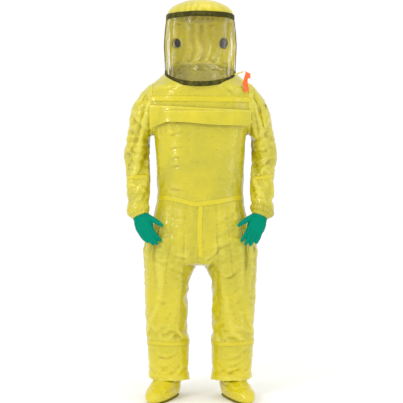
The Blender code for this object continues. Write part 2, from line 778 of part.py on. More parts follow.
def make_storm_flap():
    """Wide flap sewn along its top edge just below the chest seam; it hangs over the zip."""
    top = CHEST_SEAM_Z - CHEST_TAPE_HEIGHT / 2 - 0.004
    levels = (
        (top - FLAP_DROP, FLAP_STANDOFF),
        (top - FLAP_DROP * 0.60, FLAP_STANDOFF),
        (top - FLAP_DROP * 0.22, FLAP_STANDOFF * 0.85),
        (top, FLAP_TOP_STANDOFF),
    )
    rows = []
    for z, standoff in levels:
        outline = Station(z, CHEST_WIDTH + standoff, CHEST_DEPTH + standoff, CHEST_POWER)
        rows.append([flap_point(outline, share) for share in angles_shared(HALF_COLUMNS + 2)])
    shell("storm_flap", rows, "fabric")


def angles_shared(count):
    return [-1 + 2 * i / count for i in range(count + 1)]


def flap_point(outline, share):
    x = FLAP_HALF_WIDTH * share
    inside = 1 - (abs(x) / outline.half_width) ** outline.power
    return Vector((x, -outline.half_depth * inside ** (1 / outline.power), outline.z))


def make_escape_strip():
    """Ribbon that hangs from a short anchor at the hood's lower left corner, twisted as it hangs."""
    steps = 10
    rows = []
    for i in range(steps + 1):
        share = i / steps
        middle = STRIP_TOP + Vector((STRIP_LEAN * share, 0, -STRIP_LENGTH * share))
        angle = math.pi * STRIP_TURNS * share
        width = STRIP_HALF_WIDTH * (0.45 + 0.55 * math.sin(math.pi * min(1.0, share * 1.15 + 0.12)))
        across = Vector((math.cos(angle), math.sin(angle), 0)) * width
        rows.append([middle - across, middle, middle + across])
    shell("escape_strip", list(reversed(rows)), "orange", STRIP_THICKNESS)
    inner_end = STRIP_TOP + Vector((-ANCHOR_LENGTH, 0.002, -0.008))
    outer_end = STRIP_TOP + Vector((0.008, 0.002, 0.006))
    half = Vector((0, 0, ANCHOR_HALF_HEIGHT))
    rows = [
        [inner_end - half, outer_end - half],
        [inner_end + half, outer_end + half],
    ]
    shell("escape_strip_anchor", rows, "orange", ANCHOR_THICKNESS)


# arms


def arm_ring(inner, outer, y, half_depth):
    """Ring whose plane holds the line from the inner to the outer point, both (x, z)."""
    low, high = Vector((inner[0], y, inner[1])), Vector((outer[0], y, outer[1]))
    middle, along = (low + high) / 2, (high - low) / 2
    points = []
    for angle in angles(-180, 180, ARM_COLUMNS)[:-1]:
        points.append(middle + along * math.cos(angle) + Vector((0, half_depth * math.sin(angle), 0)))
    return points


def hand_axes():
    """Across the hand, away from the body, and out of its palm side, towards the back."""
    behind = (Vector((0, 1, 0)) - HAND_DIRECTION * HAND_DIRECTION.y).normalized()
    return HAND_DIRECTION.cross(behind), behind


def hand_ring(along, half_width, half_depth, count=ARM_COLUMNS, aside=0.0, ahead=0.0, turn=0.0):
    """Ring across the hand at a distance below the wrist."""
    across, behind = hand_axes()
    middle = Vector((WRIST_X, WRIST_Y, WRIST_Z)) + HAND_DIRECTION * along + across * aside - behind * ahead
    points = []
    for angle in angles(-180, 180, count)[:-1]:
        points.append(middle + across * (half_width * math.cos(angle)) + behind * (half_depth * math.sin(angle)))
    return points


def elbow_ring(z):
    return arm_ring((ELBOW_INNER_X, z), (ELBOW_OUTER_X, z), ELBOW_Y, ELBOW_DEPTH)


def upper_sleeve_rings():
    """Elbow up to the armhole."""
    reach = ELBOW_OUTER_X - ARMHOLE_X
    under = ARMPIT_Z
    top = SHOULDER_Z
    armhole = ARMHOLE_HEIGHT
    return [
        notched(elbow_ring(ELBOW_Z + JOINT_GAP), ELBOW_Y, -1, ELBOW_NOTCH),
        arm_ring(
            (ARMHOLE_X + 0.004, under - 0.035), (ARMHOLE_X + 0.81 * reach, top - 0.80 * armhole), 0.024, 0.078
        ),
        arm_ring(
            (ARMHOLE_X + 0.0025, under - 0.023), (ARMHOLE_X + 0.65 * reach, top - 0.43 * armhole), 0.012, 0.086
        ),
        arm_ring((ARMHOLE_X + 0.001, under - 0.013), (ARMHOLE_X + 0.34 * reach, top - 0.16 * armhole), 0.004, 0.092),
        arm_ring((ARMHOLE_X, under), (ARMHOLE_X, top), 0.0, ARMHOLE_DEPTH),
    ]


def forearm_ring(z):
    """Level ring of the lower sleeve, between the elbow and the wrist."""
    share = (ELBOW_Z - z) / FOREARM_LENGTH
    return arm_ring(
        (ELBOW_INNER_X - 0.007 * share, z),
        (ELBOW_OUTER_X - 0.024 * share, z),
        ELBOW_Y + (WRIST_Y - ELBOW_Y) * share,
        ELBOW_DEPTH - 0.012 * share,
    )


def sleeve_end_ring(along):
    return hand_ring(along, SLEEVE_END_WIDTH, SLEEVE_END_DEPTH)


def lower_sleeve_rings():
    """Wrist up to the elbow."""
    tape_z = ELBOW_Z - FOREARM_TAPE_DROP
    return [
        sleeve_end_ring(-CUFF_OVERRUN - JOINT_GAP),
        forearm_ring(ELBOW_Z - 0.76 * FOREARM_LENGTH),
        forearm_ring(tape_z),
        forearm_ring(ELBOW_Z - 1.1 * ELBOW_NOTCH * ELBOW_DEPTH - 0.006),
        notched(elbow_ring(ELBOW_Z - JOINT_GAP), ELBOW_Y, -1, -ELBOW_NOTCH),
    ]


def make_arms():
    cuff_bore_width = GLOVE_WRIST_WIDTH + CUFF_CLEARANCE + FABRIC
    cuff_bore_depth = GLOVE_WRIST_DEPTH + CUFF_CLEARANCE + FABRIC
    for side, mirror in (("left", False), ("right", True)):
        shell(f"upper_sleeve_{side}", upper_sleeve_rings(), "fabric", wrap=True, mirror=mirror)
        lower = lower_sleeve_rings()
        shell(f"lower_sleeve_{side}", lower, "fabric", wrap=True, mirror=mirror)
        band(f"forearm_tape_{side}", *lower[1:4], LIMB_TAPE_HEIGHT, "tape", wrap=True, mirror=mirror)
        cuff = [
            hand_ring(CUFF_LENGTH, cuff_bore_width, cuff_bore_depth),
            hand_ring(CUFF_LENGTH * 0.5, cuff_bore_width + 0.010, cuff_bore_depth + 0.010),
            sleeve_end_ring(-CUFF_OVERRUN + JOINT_GAP),
        ]
        shell(f"cuff_{side}", cuff, "fabric", wrap=True, mirror=mirror)
        make_glove(side, mirror)


def glove_rings(inset):
    """Wrist to knuckles. With an inset the rings lie inside the wall and pass out of the wrist end."""
    start = -0.022 - 3 * inset
    levels = (
        (start, GLOVE_WRIST_WIDTH, GLOVE_WRIST_DEPTH),
        (CUFF_LENGTH, GLOVE_WRIST_WIDTH, GLOVE_WRIST_DEPTH),
        (PALM_LENGTH * 0.62, PALM_WIDTH - 0.001, 0.022),
        (PALM_LENGTH * 0.92, PALM_WIDTH, 0.0175),
        (PALM_LENGTH + 0.004 - 2 * inset, PALM_WIDTH - 0.004, 0.0135),
    )
    return [hand_ring(along, width - inset, depth - inset) for along, width, depth in levels]


def finger_rings(root, tip, radius, root_share=1.0):
    """Round-ended finger from root to tip, both points."""
    axis = (tip - root).normalized()
    across, _ = hand_axes()
    side = (across - axis * across.dot(axis)).normalized()
    other = axis.cross(side)
    length = (tip - root).length
    levels = ((0.0, root_share), (length * 0.55, 1.0), (length - radius * 0.9, 0.92), (length - radius * 0.25, 0.6))
    rings = []
    for along, share in levels:
        points = []
        for i in range(10):
            angle = 2 * math.pi * i / 10
            points.append(root + axis * along + (side * math.cos(angle) + other * math.sin(angle)) * radius * share)
        rings.append(points)
    return rings


def hand_point(along, aside, ahead=0.0):
    across, behind = hand_axes()
    wrist = Vector((WRIST_X, WRIST_Y, WRIST_Z))
    return wrist + HAND_DIRECTION * along + across * aside - behind * ahead


def make_glove(side, mirror):
    glove = stack(f"glove_{side}", glove_rings(0.0), "glove", mirror)
    spacing = 2 * (PALM_WIDTH - 0.004 - FINGER_RADIUS) / 3
    for i, length in enumerate(FINGER_LENGTHS):
        aside = spacing * (1.5 - i)
        root = hand_point(PALM_LENGTH - 0.006, aside)
        tip = hand_point(PALM_LENGTH + length, aside * 1.18, -0.004)
        finger = stack(f"finger_{i}_{side}", finger_rings(root, tip, FINGER_RADIUS), "glove", mirror)
        boolean(glove, finger, "UNION")
    root = hand_point(THUMB_ROOT, -0.022, 0.002)
    tip = root + (hand_point(0.80, -0.50, 0.34) - hand_point(0, 0)).normalized() * THUMB_LENGTH
    thumb = stack(f"thumb_{side}", finger_rings(root, tip, THUMB_RADIUS, 1.25), "glove", mirror)
    boolean(glove, thumb, "UNION")
    inside = stack(f"hand_space_{side}", glove_rings(GLOVE_WALL), "glove", mirror)
    boolean(glove, inside, "DIFFERENCE")


def main():
    clear_scene()
    torso_back = make_torso()
    make_body_tapes()
    make_trousers()
    make_shins()
    make_feet()
    hood_back = make_hood()
    make_exhaust_valves(hood_back)
    make_air_inlet(torso_back)
    make_zip()
    make_storm_flap()
    make_escape_strip()
    make_arms()


main()
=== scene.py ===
"""Chemical protective suit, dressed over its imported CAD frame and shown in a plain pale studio."""

import math

import bmesh
import bpy
import numpy as np
from bpy.props import FloatProperty, IntProperty, PointerProperty, StringProperty
from mathutils import Matrix, Vector, noise
from mathutils.bvhtree import BVHTree


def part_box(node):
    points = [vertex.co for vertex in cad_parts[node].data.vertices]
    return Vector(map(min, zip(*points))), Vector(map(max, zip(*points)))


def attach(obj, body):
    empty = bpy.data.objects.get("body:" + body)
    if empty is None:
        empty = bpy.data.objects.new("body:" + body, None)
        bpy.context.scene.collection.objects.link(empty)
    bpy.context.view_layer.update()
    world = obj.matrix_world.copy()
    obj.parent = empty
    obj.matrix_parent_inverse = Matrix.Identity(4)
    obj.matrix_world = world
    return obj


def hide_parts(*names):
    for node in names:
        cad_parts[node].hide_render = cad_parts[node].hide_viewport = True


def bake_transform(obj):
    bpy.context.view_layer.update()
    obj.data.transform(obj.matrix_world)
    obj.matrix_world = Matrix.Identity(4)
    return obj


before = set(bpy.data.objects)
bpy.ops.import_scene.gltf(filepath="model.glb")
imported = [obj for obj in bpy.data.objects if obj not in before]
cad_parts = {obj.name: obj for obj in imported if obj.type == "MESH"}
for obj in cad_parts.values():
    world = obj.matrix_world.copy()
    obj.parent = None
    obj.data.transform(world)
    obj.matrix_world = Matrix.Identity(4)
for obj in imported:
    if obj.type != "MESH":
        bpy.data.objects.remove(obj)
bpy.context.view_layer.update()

bl_info = {
    "name": "Chemical protective suit",
    "version": (1, 0, 0),
    "blender": (4, 5, 0),
    "location": "3D view > sidebar > Suit",
    "description": "Builds the soft pieces and the finishes of a fully enclosing protective suit",
    "category": "Object",
}

SIDES = (("left", 1), ("right", -1))
HAND_DIRECTION = Vector((-0.070, -0.075, -0.175)).normalized()
NECK_TILT = 0.385
ARMHOLE_HEIGHT = 0.230
FOREARM_DROP = 0.268
TOES_TURN = math.radians(22)
VALVE_TURN = math.radians(45)
VALVE_BACK = 0.166

# places read from the frame, in metres
MIDDLE_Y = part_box("hood_back")[0].y
AHEAD_Y = MIDDLE_Y - 0.4  # ahead of every piece, where a ray towards the back begins
NECK_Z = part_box("hood_back")[0].z
VISOR_TOP_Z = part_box("hood_back")[1].z
CROWN_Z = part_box("hood_crown")[1].z
WAIST_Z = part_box("torso_front")[0].z
SEAM_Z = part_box("yoke_front")[0].z
CHEST_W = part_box("torso_front")[1].x
CHEST_D = MIDDLE_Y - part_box("torso_front")[0].y
HIP_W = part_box("trouser_front_left")[1].x
HIP_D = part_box("trouser_back_left")[1].y - MIDDLE_Y
KNEE_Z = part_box("shin_front_left")[1].z
HEM_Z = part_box("shin_front_left")[0].z
ARM_LO, ARM_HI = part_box("upper_sleeve_left")
ARMHOLE_X = ARM_LO.x
ELBOW_Z = ARM_LO.z
SHOULDER_Z = ARM_HI.z
ARMPIT_Z = SHOULDER_Z - ARMHOLE_HEIGHT
ARMHOLE_Z = (SHOULDER_Z + ARMPIT_Z) / 2
WRIST = Vector((ARMHOLE_X + 0.054, MIDDLE_Y - 0.100, ELBOW_Z - FOREARM_DROP))
FLAP_LO, FLAP_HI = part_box("storm_flap")
HOOD_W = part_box("visor")[1].x


def length_setting(name, description, default):
    return FloatProperty(name=name, description=description, default=default, unit="LENGTH")


def colour_setting(name, description, default):
    return StringProperty(name=name, description=f"{description}, sRGB hex", default=default)


class SuitSizes(bpy.types.PropertyGroup):
    voxel: length_setting("Voxel", "Grid of the garment before it is simulated", 0.009)
    growth: FloatProperty(
        name="Growth", description="Share by which the loosest fabric grows in the simulation", default=0.11
    )
    frames: IntProperty(name="Frames", description="Frames of the garment's simulation", default=24)
    fold_cap: length_setting("Fold cap", "Furthest that the simulation moves the loosest fabric", 0.024)
    tape_lift: length_setting("Tape lift", "How far a seam tape stands off the fabric", 0.0012)
    chest_tape: length_setting("Chest tape", "Height of the tape over the chest seam", 0.028)
    body_tape: length_setting("Body tape", "Height of the waist tape and width of the centre tape", 0.024)
    limb_tape: length_setting("Limb tape", "Height of the shin and forearm tapes", 0.021)
    binding: length_setting("Binding", "Height of the visor's bindings", 0.025)
    ribbon: length_setting("Ribbon", "Width of the escape strip", 0.029)


class SuitColours(bpy.types.PropertyGroup):
    fabric: colour_setting("Fabric", "Coated fabric", "#bfb41a")
    fabric_dull: colour_setting("Fabric shade", "Duller areas", "#b0a81f")
    fabric_bright: colour_setting("Fabric light", "Brighter areas", "#d3c20c")
    tape: colour_setting("Tape", "Seam tape", "#cfbf06")
    binding: colour_setting("Binding", "Woven visor binding", "#39360f")
    glove: colour_setting("Glove", "Green rubber", "#008167")
    ribbon: colour_setting("Ribbon", "Escape strip", "#f26410")
    valve: colour_setting("Valve", "Matte grey valve plastic", "#58575a")
    # near-white colour of the visor film, which shows as its painted reflection
    visor: colour_setting("Visor", "Clear film", "#f4f6ef")
    floor: colour_setting("Floor", "Pale studio floor", "#ffffff")


def sizes():
    return bpy.context.scene.suit_sizes


def linear(colour):
    """Linear RGBA of an sRGB hex colour."""
    channels = [int(colour[i : i + 2], 16) / 255 for i in (1, 3, 5)]
    return [c / 12.92 if c <= 0.04045 else ((c + 0.055) / 1.055) ** 2.4 for c in channels] + [1.0]


def hue(name):
    return linear(getattr(bpy.context.scene.suit_colours, name))


# materials


def add(material, kind, inputs=None, **settings):
    """Adds a node with its settings; an input is a value or another node's output."""
    made = material.node_tree.nodes.new(kind)
    for key, value in settings.items():
        setattr(made, key, value)
    for socket, value in (inputs or {}).items():
        if isinstance(value, bpy.types.NodeSocket):
            material.node_tree.links.new(value, made.inputs[socket])
        else:
            made.inputs[socket].default_value = value
    return made


def surface(name, inputs):
    """New material with one principled shader; inputs is a function of the material and the place in it."""
    material = bpy.data.materials.new(name)
    material.use_nodes = True
    material.node_tree.nodes.clear()
    place = add(material, "ShaderNodeTexCoord").outputs["Object"]
    shader = add(material, "ShaderNodeBsdfPrincipled", inputs(material, place))
    add(material, "ShaderNodeOutputMaterial", {"Surface": shader.outputs[0]})
    return material


def grain(material, place, scale, detail=4.0, roughness=0.55, distortion=0.0):
    """Noise at a number of cells per metre."""
    return add(
        material,
        "ShaderNodeTexNoise",
        {"Vector": place, "Scale": scale, "Detail": detail, "Roughness": roughness, "Distortion": distortion},
    ).outputs["Fac"]


def ramp(material, factor, stops):
    made = add(material, "ShaderNodeValToRGB", {"Fac": factor})
    elements = made.color_ramp.elements
    while len(elements) < len(stops):
        elements.new(0.5)
    for element, (position, colour) in zip(elements, stops):
        element.position = position
        element.color = colour
    return made.outputs["Color"]


def mixed(material, factor, first, second, blend="MIX"):
    made = add(material, "ShaderNodeMix", data_type="RGBA", blend_type=blend)
    for index, value in ((0, factor), (6, first), (7, second)):
        if isinstance(value, bpy.types.NodeSocket):
            material.node_tree.links.new(value, made.inputs[index])
        else:
            made.inputs[index].default_value = value
    return made.outputs[2]


def bump(material, height, distance, strength=1.0, below=None):
    inputs = {"Height": height, "Distance": distance, "Strength": strength}
    if below is not None:
        inputs["Normal"] = below
    return add(material, "ShaderNodeBump", inputs).outputs["Normal"]


def greys(material, factor, *stops):
    """Ramp of grey levels; a stop is its position and its level."""
    return ramp(material, factor, [(position, [level, level, level, 1.0]) for position, level in stops])


def tinted(material, base, colour, factor, *stops):
    """Base mixed with a colour, by as much as the grey levels say."""
    return mixed(material, greys(material, factor, *stops), base, colour)


def ribbed(material, place, scale, distortion, axis):
    """Even ribs along an axis, 0.314 / scale metres apart."""
    inputs = {"Vector": place, "Scale": scale, "Distortion": distortion}
    return add(material, "ShaderNodeTexWave", inputs, bands_direction=axis).outputs["Fac"]


def worked_out(material, operation, *values):
    """Result of a calculation on one or two values."""
    return add(material, "ShaderNodeMath", dict(enumerate(values)), operation=operation).outputs[0]


def coated_fabric(name, bright=0.0, glow=0.0):
    """Nonwoven laminated with a semi-gloss film: crinkles of 13 and 38 mm and a fine film grain; bright adds
    painted light to its pale patches and glow adds a painted glow.
    """

    def inputs(material, place):
        height = add(material, "ShaderNodeSeparateXYZ", {"Vector": place}).outputs["Z"]
        share = {"Value": height, "From Min": 0.0, "From Max": 1.93}
        share = add(material, "ShaderNodeMapRange", share).outputs["Result"]
        dull, plain, light = hue("fabric_dull"), hue("fabric"), hue("fabric_bright")
        stops = [(0.0, light), (0.07, light), (0.13, plain), (0.24, plain)]
        stops += [(0.34, dull), (0.54, dull), (0.72, plain)]
        base = ramp(material, share, stops)
        # random paler patches; the brighter copies push them further towards the light colour as painted
        # light
        patch = grain(material, place, 6.5, 4.0)
        base = tinted(material, base, light, patch, (0.38, 0.0), (0.62, 0.5 + bright))
        # painted shade: golden brown in the mesh's valleys; painted highlight: paler on its ridges
        cavity = add(material, "ShaderNodeAttribute", attribute_name="cavity").outputs["Fac"]
        base = tinted(material, base, linear("#86690a"), cavity, (0.56, 0.0), (1.0, 0.48))
        base = tinted(material, base, linear("#dcd24f"), cavity, (0.0, 0.5), (0.45, 0.0))
        crumple = grain(material, place, 75.0, 6.0, 0.68, 1.2)
        # painted shade in the crinkles' hollows and painted highlight on their crests, following the crumple
        # bump
        base = tinted(material, base, linear("#8f7d14"), crumple, (0.30, 0.16), (0.48, 0.0))
        base = tinted(material, base, linear("#ddd66a"), crumple, (0.56, 0.0), (0.72, 0.20))
        wide = grain(material, place, 26.0, 5.0, 0.6, 0.9)
        film = grain(material, place, 900.0, 2.0)
        normal = bump(material, wide, 0.0040, 0.7)
        normal = bump(material, crumple, 0.0010, 0.6, normal)
        normal = bump(material, film, 0.00012, 0.5, normal)
        return {
            "Base Color": base,
            "Roughness": greys(material, crumple, (0.3, 0.36), (0.7, 0.24)),
            "IOR": 1.49,
            "Normal": normal,
            "Coat Weight": 0.3,
            "Coat Roughness": 0.07,
            # painted glow: the fabric's colour emitted at the strength glow
            "Emission Color": base,
            "Emission Strength": glow,
        }

    return surface(name, inputs)


def seam_tape():
    """Heat-sealed film tape: glossier and more even than the fabric, with small puckers painted darker in
    their hollows as painted shade.
    """

    def inputs(material, place):
        pucker = grain(material, place, 95.0, 4.0, 0.6, 0.7)
        film = grain(material, place, 700.0, 2.0)
        return {
            # painted shade: the duller fabric colour in the puckers' hollows, following their bump
            "Base Color": tinted(material, hue("tape"), hue("fabric_dull"), pucker, (0.35, 0.3), (0.6, 0.0)),
            "Roughness": 0.30,
            "IOR": 1.5,
            "Coat Weight": 0.25,
            "Coat Roughness": 0.12,
            "Normal": bump(material, film, 0.0001, 0.5, bump(material, pucker, 0.0016, 0.7)),
        }

    return surface("heat_sealed_seam_tape", inputs)


def woven_binding():
    """Olive woven bias tape folded over the visor's edge, threads 1.2 mm apart."""

    def inputs(material, place):
        weave, cross = (ribbed(material, place, 260.0, 1.5, axis) for axis in ("Z", "X"))
        thread = mixed(material, 0.5, weave, cross)
        worn = grain(material, place, 40.0, 5.0)
        return {
            "Base Color": tinted(material, hue("binding"), linear("#86802f"), worn, (0.45, 0.0), (0.75, 0.5)),
            "Roughness": 0.72,
            "Specular IOR Level": 0.15,
            "Normal": bump(material, thread, 0.0003, 0.6, bump(material, worn, 0.0015, 0.5)),
        }

    return surface("woven_bias_binding", inputs)


def clear_film():
    """Clear flexible visor film: faint waves, a near-white painted reflection that is faint all over and
    streaked near its side edges, and a hard gloss.
    """

    def inputs(material, place):
        wave = grain(material, place, 9.0, 2.0)
        tall = {"Vector": place, "Scale": (70.0, 70.0, 7.0)}
        tall = add(material, "ShaderNodeMapping", tall).outputs["Vector"]
        # painted reflection: the near-white film colour shows through its alpha, faintly everywhere and in
        # streaks near the side edges
        reflection_streak = greys(material, grain(material, tall, 1.0, 3.0, 0.6, 0.6), (0.50, 0.0), (0.62, 1.0))
        aside = add(material, "ShaderNodeSeparateXYZ", {"Vector": place}).outputs["X"]
        side = greys(material, worked_out(material, "ABSOLUTE", aside), (0.105, 0.0), (0.150, 0.62))
        painted_reflection = worked_out(material, "ADD", worked_out(material, "MULTIPLY", reflection_streak, side), 0.035)
        return {
            "Base Color": hue("visor"),
            "Roughness": 0.05,
            "IOR": 1.52,
            "Alpha": painted_reflection,
            "Coat Weight": 0.6,
            "Coat Roughness": 0.02,
            "Specular IOR Level": 0.9,
            "Normal": bump(material, wave, 0.004, 0.25),
        }

    return surface("clear_visor_film", inputs)


def glove_rubber():
    """Dipped green rubber with a satin skin, fine pebbles and paler worn ridges."""

    def inputs(material, place):
        blotch = grain(material, place, 45.0, 4.0)
        pebble = grain(material, place, 700.0, 3.0)
        return {
            "Base Color": tinted(material, hue("glove"), linear("#028a70"), blotch, (0.35, 0.0), (0.7, 0.45)),
            "Roughness": greys(material, blotch, (0.3, 0.36), (0.7, 0.5)),
            "IOR": 1.52,
            "Specular IOR Level": 0.03,
            "Normal": bump(material, pebble, 0.00025, 0.5, bump(material, blotch, 0.0012, 0.4)),
        }

    return surface("dipped_green_rubber", inputs)


def ribbon_weave():
    """Orange coated webbing, ribbed every 1.5 mm."""

    def inputs(material, place):
        worn = grain(material, place, 60.0, 3.0)
        return {
            "Base Color": tinted(material, hue("ribbon"), linear("#f08a33"), worn, (0.4, 0.0), (0.7, 0.4)),
            "Roughness": 0.46,
            "Coat Weight": 0.1,
            "Normal": bump(material, ribbed(material, place, 210.0, 0.6, "Z"), 0.0002, 0.5),
        }

    return surface("orange_coated_webbing", inputs)


def studio_paint():
    """Rolled pale paint, faintly uneven in tone."""

    def inputs(material, place):
        patch = grain(material, place, 3.0)
        tone = tinted(material, hue("floor"), linear("#fafaf9"), patch, (0.3, 0.0), (0.7, 0.3))
        return {"Base Color": tone, "Roughness": 0.7}

    return surface("pale_studio_paint", inputs)


def moulded(name, colour, rough, metal=0.0, scale=600.0, depth=0.00008):
    """Moulded or turned hard piece: even colour with a fine surface grain and slight handling wear."""

    def inputs(material, place):
        worn = grain(material, place, 70.0, 5.0)
        fine = grain(material, place, scale, 3.0)
        lighter = [min(1.0, c * 1.5 + 0.01) for c in colour[:3]] + [1.0]
        return {
            "Base Color": tinted(material, colour, lighter, worn, (0.5, 0.0), (0.8, 0.4)),
            "Roughness": greys(material, worn, (0.3, rough), (0.75, min(1.0, rough + 0.14))),
            "Metallic": metal,
            "Normal": bump(material, fine, depth, 0.5),
        }

    return surface(name, inputs)


def finish(name):
    """The suit's materials, each made once."""
    if name in bpy.data.materials:
        return bpy.data.materials[name]
    makers = {
        "coated_fabric": lambda: coated_fabric("coated_fabric"),
        # a brighter copy of the same fabric, painted light, for the hood's crown, the storm flap, the booties
        # and the hems
        "coated_fabric_bright": lambda: coated_fabric("coated_fabric_bright", 0.5),
        # the hood's back, with painted light and a painted glow standing in for the light behind it that its
        # thin film lets through
        "coated_fabric_lit": lambda: coated_fabric("coated_fabric_lit", 0.3, 0.22),
        "heat_sealed_seam_tape": seam_tape,
        "woven_bias_binding": woven_binding,
        "clear_visor_film": clear_film,
        "dipped_green_rubber": glove_rubber,
        "orange_coated_webbing": ribbon_weave,
        # injection-moulded polypropylene valve parts
        "matte_grey_polypropylene": lambda: moulded("matte_grey_polypropylene", hue("valve"), 0.5),
        "gloss_black_nylon": lambda: moulded("gloss_black_nylon", linear("#231f1d"), 0.16),
        # silicone rubber membrane of a one-way valve
        "dark_silicone": lambda: moulded("dark_silicone", linear("#3a3734"), 0.6),
        # chromed ring round the valve's seat
        "bright_chrome": lambda: moulded("bright_chrome", linear("#d9dbdc"), 0.12, 1.0),
        # zip teeth and slider, moulded acetal and nickel-plated zinc
        "moulded_acetal_teeth": lambda: moulded("moulded_acetal_teeth", linear("#3d3b36"), 0.35),
        "nickel_plated_zinc": lambda: moulded("nickel_plated_zinc", linear("#b9b6ae"), 0.25, 1.0),
        # turned brass, nickel plated, of the air inlet
        "turned_nickel_brass": lambda: moulded("turned_nickel_brass", linear("#b8b29f"), 0.28, 1.0, 1500.0),
        # rubber-coated sole patch
        "embossed_sole_rubber": lambda: moulded(
            "embossed_sole_rubber", linear("#8f8830"), 0.7, 0.0, 300.0, 0.0006
        ),
    }
    return makers[name]()


# meshes


def mesh_object(name, verts, faces, finish_name=None, smooth=True):
    mesh = bpy.data.meshes.new(name)
    mesh.from_pydata([tuple(v) for v in verts], [], faces)
    mesh.validate()
    if finish_name:
        mesh.materials.append(finish(finish_name))
    made = bpy.data.objects.new(name, mesh)
    bpy.context.scene.collection.objects.link(made)
    if smooth:
        mesh.polygons.foreach_set("use_smooth", [True] * len(mesh.polygons))
    return made


def points_of(made):
    co = np.empty(len(made.data.vertices) * 3, np.float32)
    made.data.vertices.foreach_get("co", co)
    return co.reshape(-1, 3).astype(float)


def normals_of(made):
    made.data.update()
    normals = np.empty(len(made.data.vertices) * 3, np.float32)
    made.data.vertex_normals.foreach_get("vector", normals)
    return normals.reshape(-1, 3).astype(float)


def move_to(made, points):
    made.data.vertices.foreach_set("co", np.asarray(points, np.float32).ravel())
    made.data.update()


def smoothed(made, values, rounds, step=0.7):
    """Values at the points, evened out along the mesh's edges."""
    edges = np.empty(len(made.data.edges) * 2, np.int32)
    made.data.edges.foreach_get("vertices", edges)
    a, b = edges.reshape(-1, 2).T
    result = np.array(values, float).reshape(len(values), -1)
    count = np.maximum(np.bincount(np.concatenate((a, b)), minlength=len(result)), 1)
    for _ in range(rounds):
        for axis in range(result.shape[1]):
            column = result[:, axis]
            total = np.bincount(a, column[b], len(result)) + np.bincount(b, column[a], len(result))
            result[:, axis] = (1 - step) * column + step * total / count
    return result


def mark_painted_shading(made, depth=0.0022, rounds=10):
    """Stores how far each point lies in a valley, 0.5 on the flat, for the painted shade in the fabric's
    valleys and the painted highlight on its ridges.
    """
    points, normals = points_of(made), normals_of(made)
    flat = smoothed(made, points, rounds)
    share = np.clip(0.5 + 0.5 * ((flat - points) * normals).sum(1) / depth, 0, 1)
    layer = made.data.attributes.new("cavity", "FLOAT", "POINT")
    layer.data.foreach_set("value", share.astype(np.float32))


def apply_modifiers(made):
    graph = bpy.context.evaluated_depsgraph_get()
    mesh = bpy.data.meshes.new_from_object(made.evaluated_get(graph))
    made.modifiers.clear()
    old = made.data
    made.data = mesh
    bpy.data.meshes.remove(old)
    mesh.polygons.foreach_set("use_smooth", [True] * len(mesh.polygons))


def modify(made, kind, **settings):
    modifier = made.modifiers.new(kind.lower(), kind)
    for key, value in settings.items():
        setattr(modifier, key, value)
    apply_modifiers(made)


def spread(rows, count):
    """Smooth curve through rows of numbers, read at even steps."""
    rows = np.array(rows, float)
    t = np.linspace(0, len(rows) - 1, count)
    i = np.clip(t.astype(int), 0, len(rows) - 2)
    u = (t - i)[:, None]
    a, b = rows[np.clip(i - 1, 0, None)], rows[i]
    c, d = rows[i + 1], rows[np.clip(i + 2, None, len(rows) - 1)]
    return 0.5 * (2 * b + (c - a) * u + (2 * a - 5 * b + 4 * c - d) * u**2 + (3 * b - a - 3 * c + d) * u**3)


def grid_faces(rows, columns, wrap):
    faces = []
    last = columns if wrap else columns - 1
    for r in range(rows - 1):
        for c in range(last):
            n = (c + 1) % columns
            faces.append((r * columns + c, r * columns + n, (r + 1) * columns + n, (r + 1) * columns + c))
    return faces


def closed_faces(rows, columns):
    """Faces of a tube whose two ends are closed."""
    first, last = range(columns), range((rows - 1) * columns, rows * columns)
    return [*grid_faces(rows, columns, True), tuple(reversed(first)), tuple(last)]


def turns(count):
    """Angles at even steps round a circle."""
    return [2 * math.pi * i / count for i in range(count)]


def tube(name, stations, rows=48, columns=64, finish_name=None, smooth_rows=True):
    """Closed oval tube; a station is centre, across, ahead, half width, half depth and power."""
    flat = [[*s[0], *s[1], *s[2], s[3], s[4], s[5]] for s in stations]
    s = spread(flat, rows) if smooth_rows else np.array(flat, float)
    angle = np.linspace(0, 2 * math.pi, columns, endpoint=False)
    share = 2 / s[:, 11:12]
    u = np.sign(np.cos(angle)) * np.abs(np.cos(angle)) ** share * s[:, 9:10]
    v = np.sign(np.sin(angle)) * np.abs(np.sin(angle)) ** share * s[:, 10:11]
    points = s[:, None, 0:3] + s[:, None, 3:6] * u[:, :, None] + s[:, None, 6:9] * v[:, :, None]
    return mesh_object(name, points.reshape(-1, 3), closed_faces(len(s), columns), finish_name)


def level(z, half_width, half_depth, power=2.3, x=0.0, y=None, tilt=0.0):
    """Level station of a tube; tilt raises it towards the back."""
    middle = MIDDLE_Y if y is None else y
    return (x, middle, z), (1, 0, 0), (0, 1, tilt), half_width, half_depth, power


def arm_station(inner, outer, y, half_depth, sign):
    """Station whose plane holds the line from the inner to the outer point, both (x, z)."""
    low = np.array((inner[0] * sign, MIDDLE_Y + y, inner[1]))
    high = np.array((outer[0] * sign, MIDDLE_Y + y, outer[1]))
    half = np.linalg.norm(high - low) / 2
    return (low + high) / 2, (high - low) / (2 * half), (0, 1, 0), half, half_depth, 2.0


def joined(objects, name):
    bm = bmesh.new()
    for one in objects:
        bm.from_mesh(one.data)
    mesh = bpy.data.meshes.new(name)
    bm.to_mesh(mesh)
    bm.free()
    for one in objects:
        bpy.data.objects.remove(one)
    made = bpy.data.objects.new(name, mesh)
    bpy.context.scene.collection.objects.link(made)
    return made


def face_outward(made):
    bm = bmesh.new()
    bm.from_mesh(made.data)
    bmesh.ops.recalc_face_normals(bm, faces=bm.faces)
    bm.to_mesh(made.data)
    bm.free()


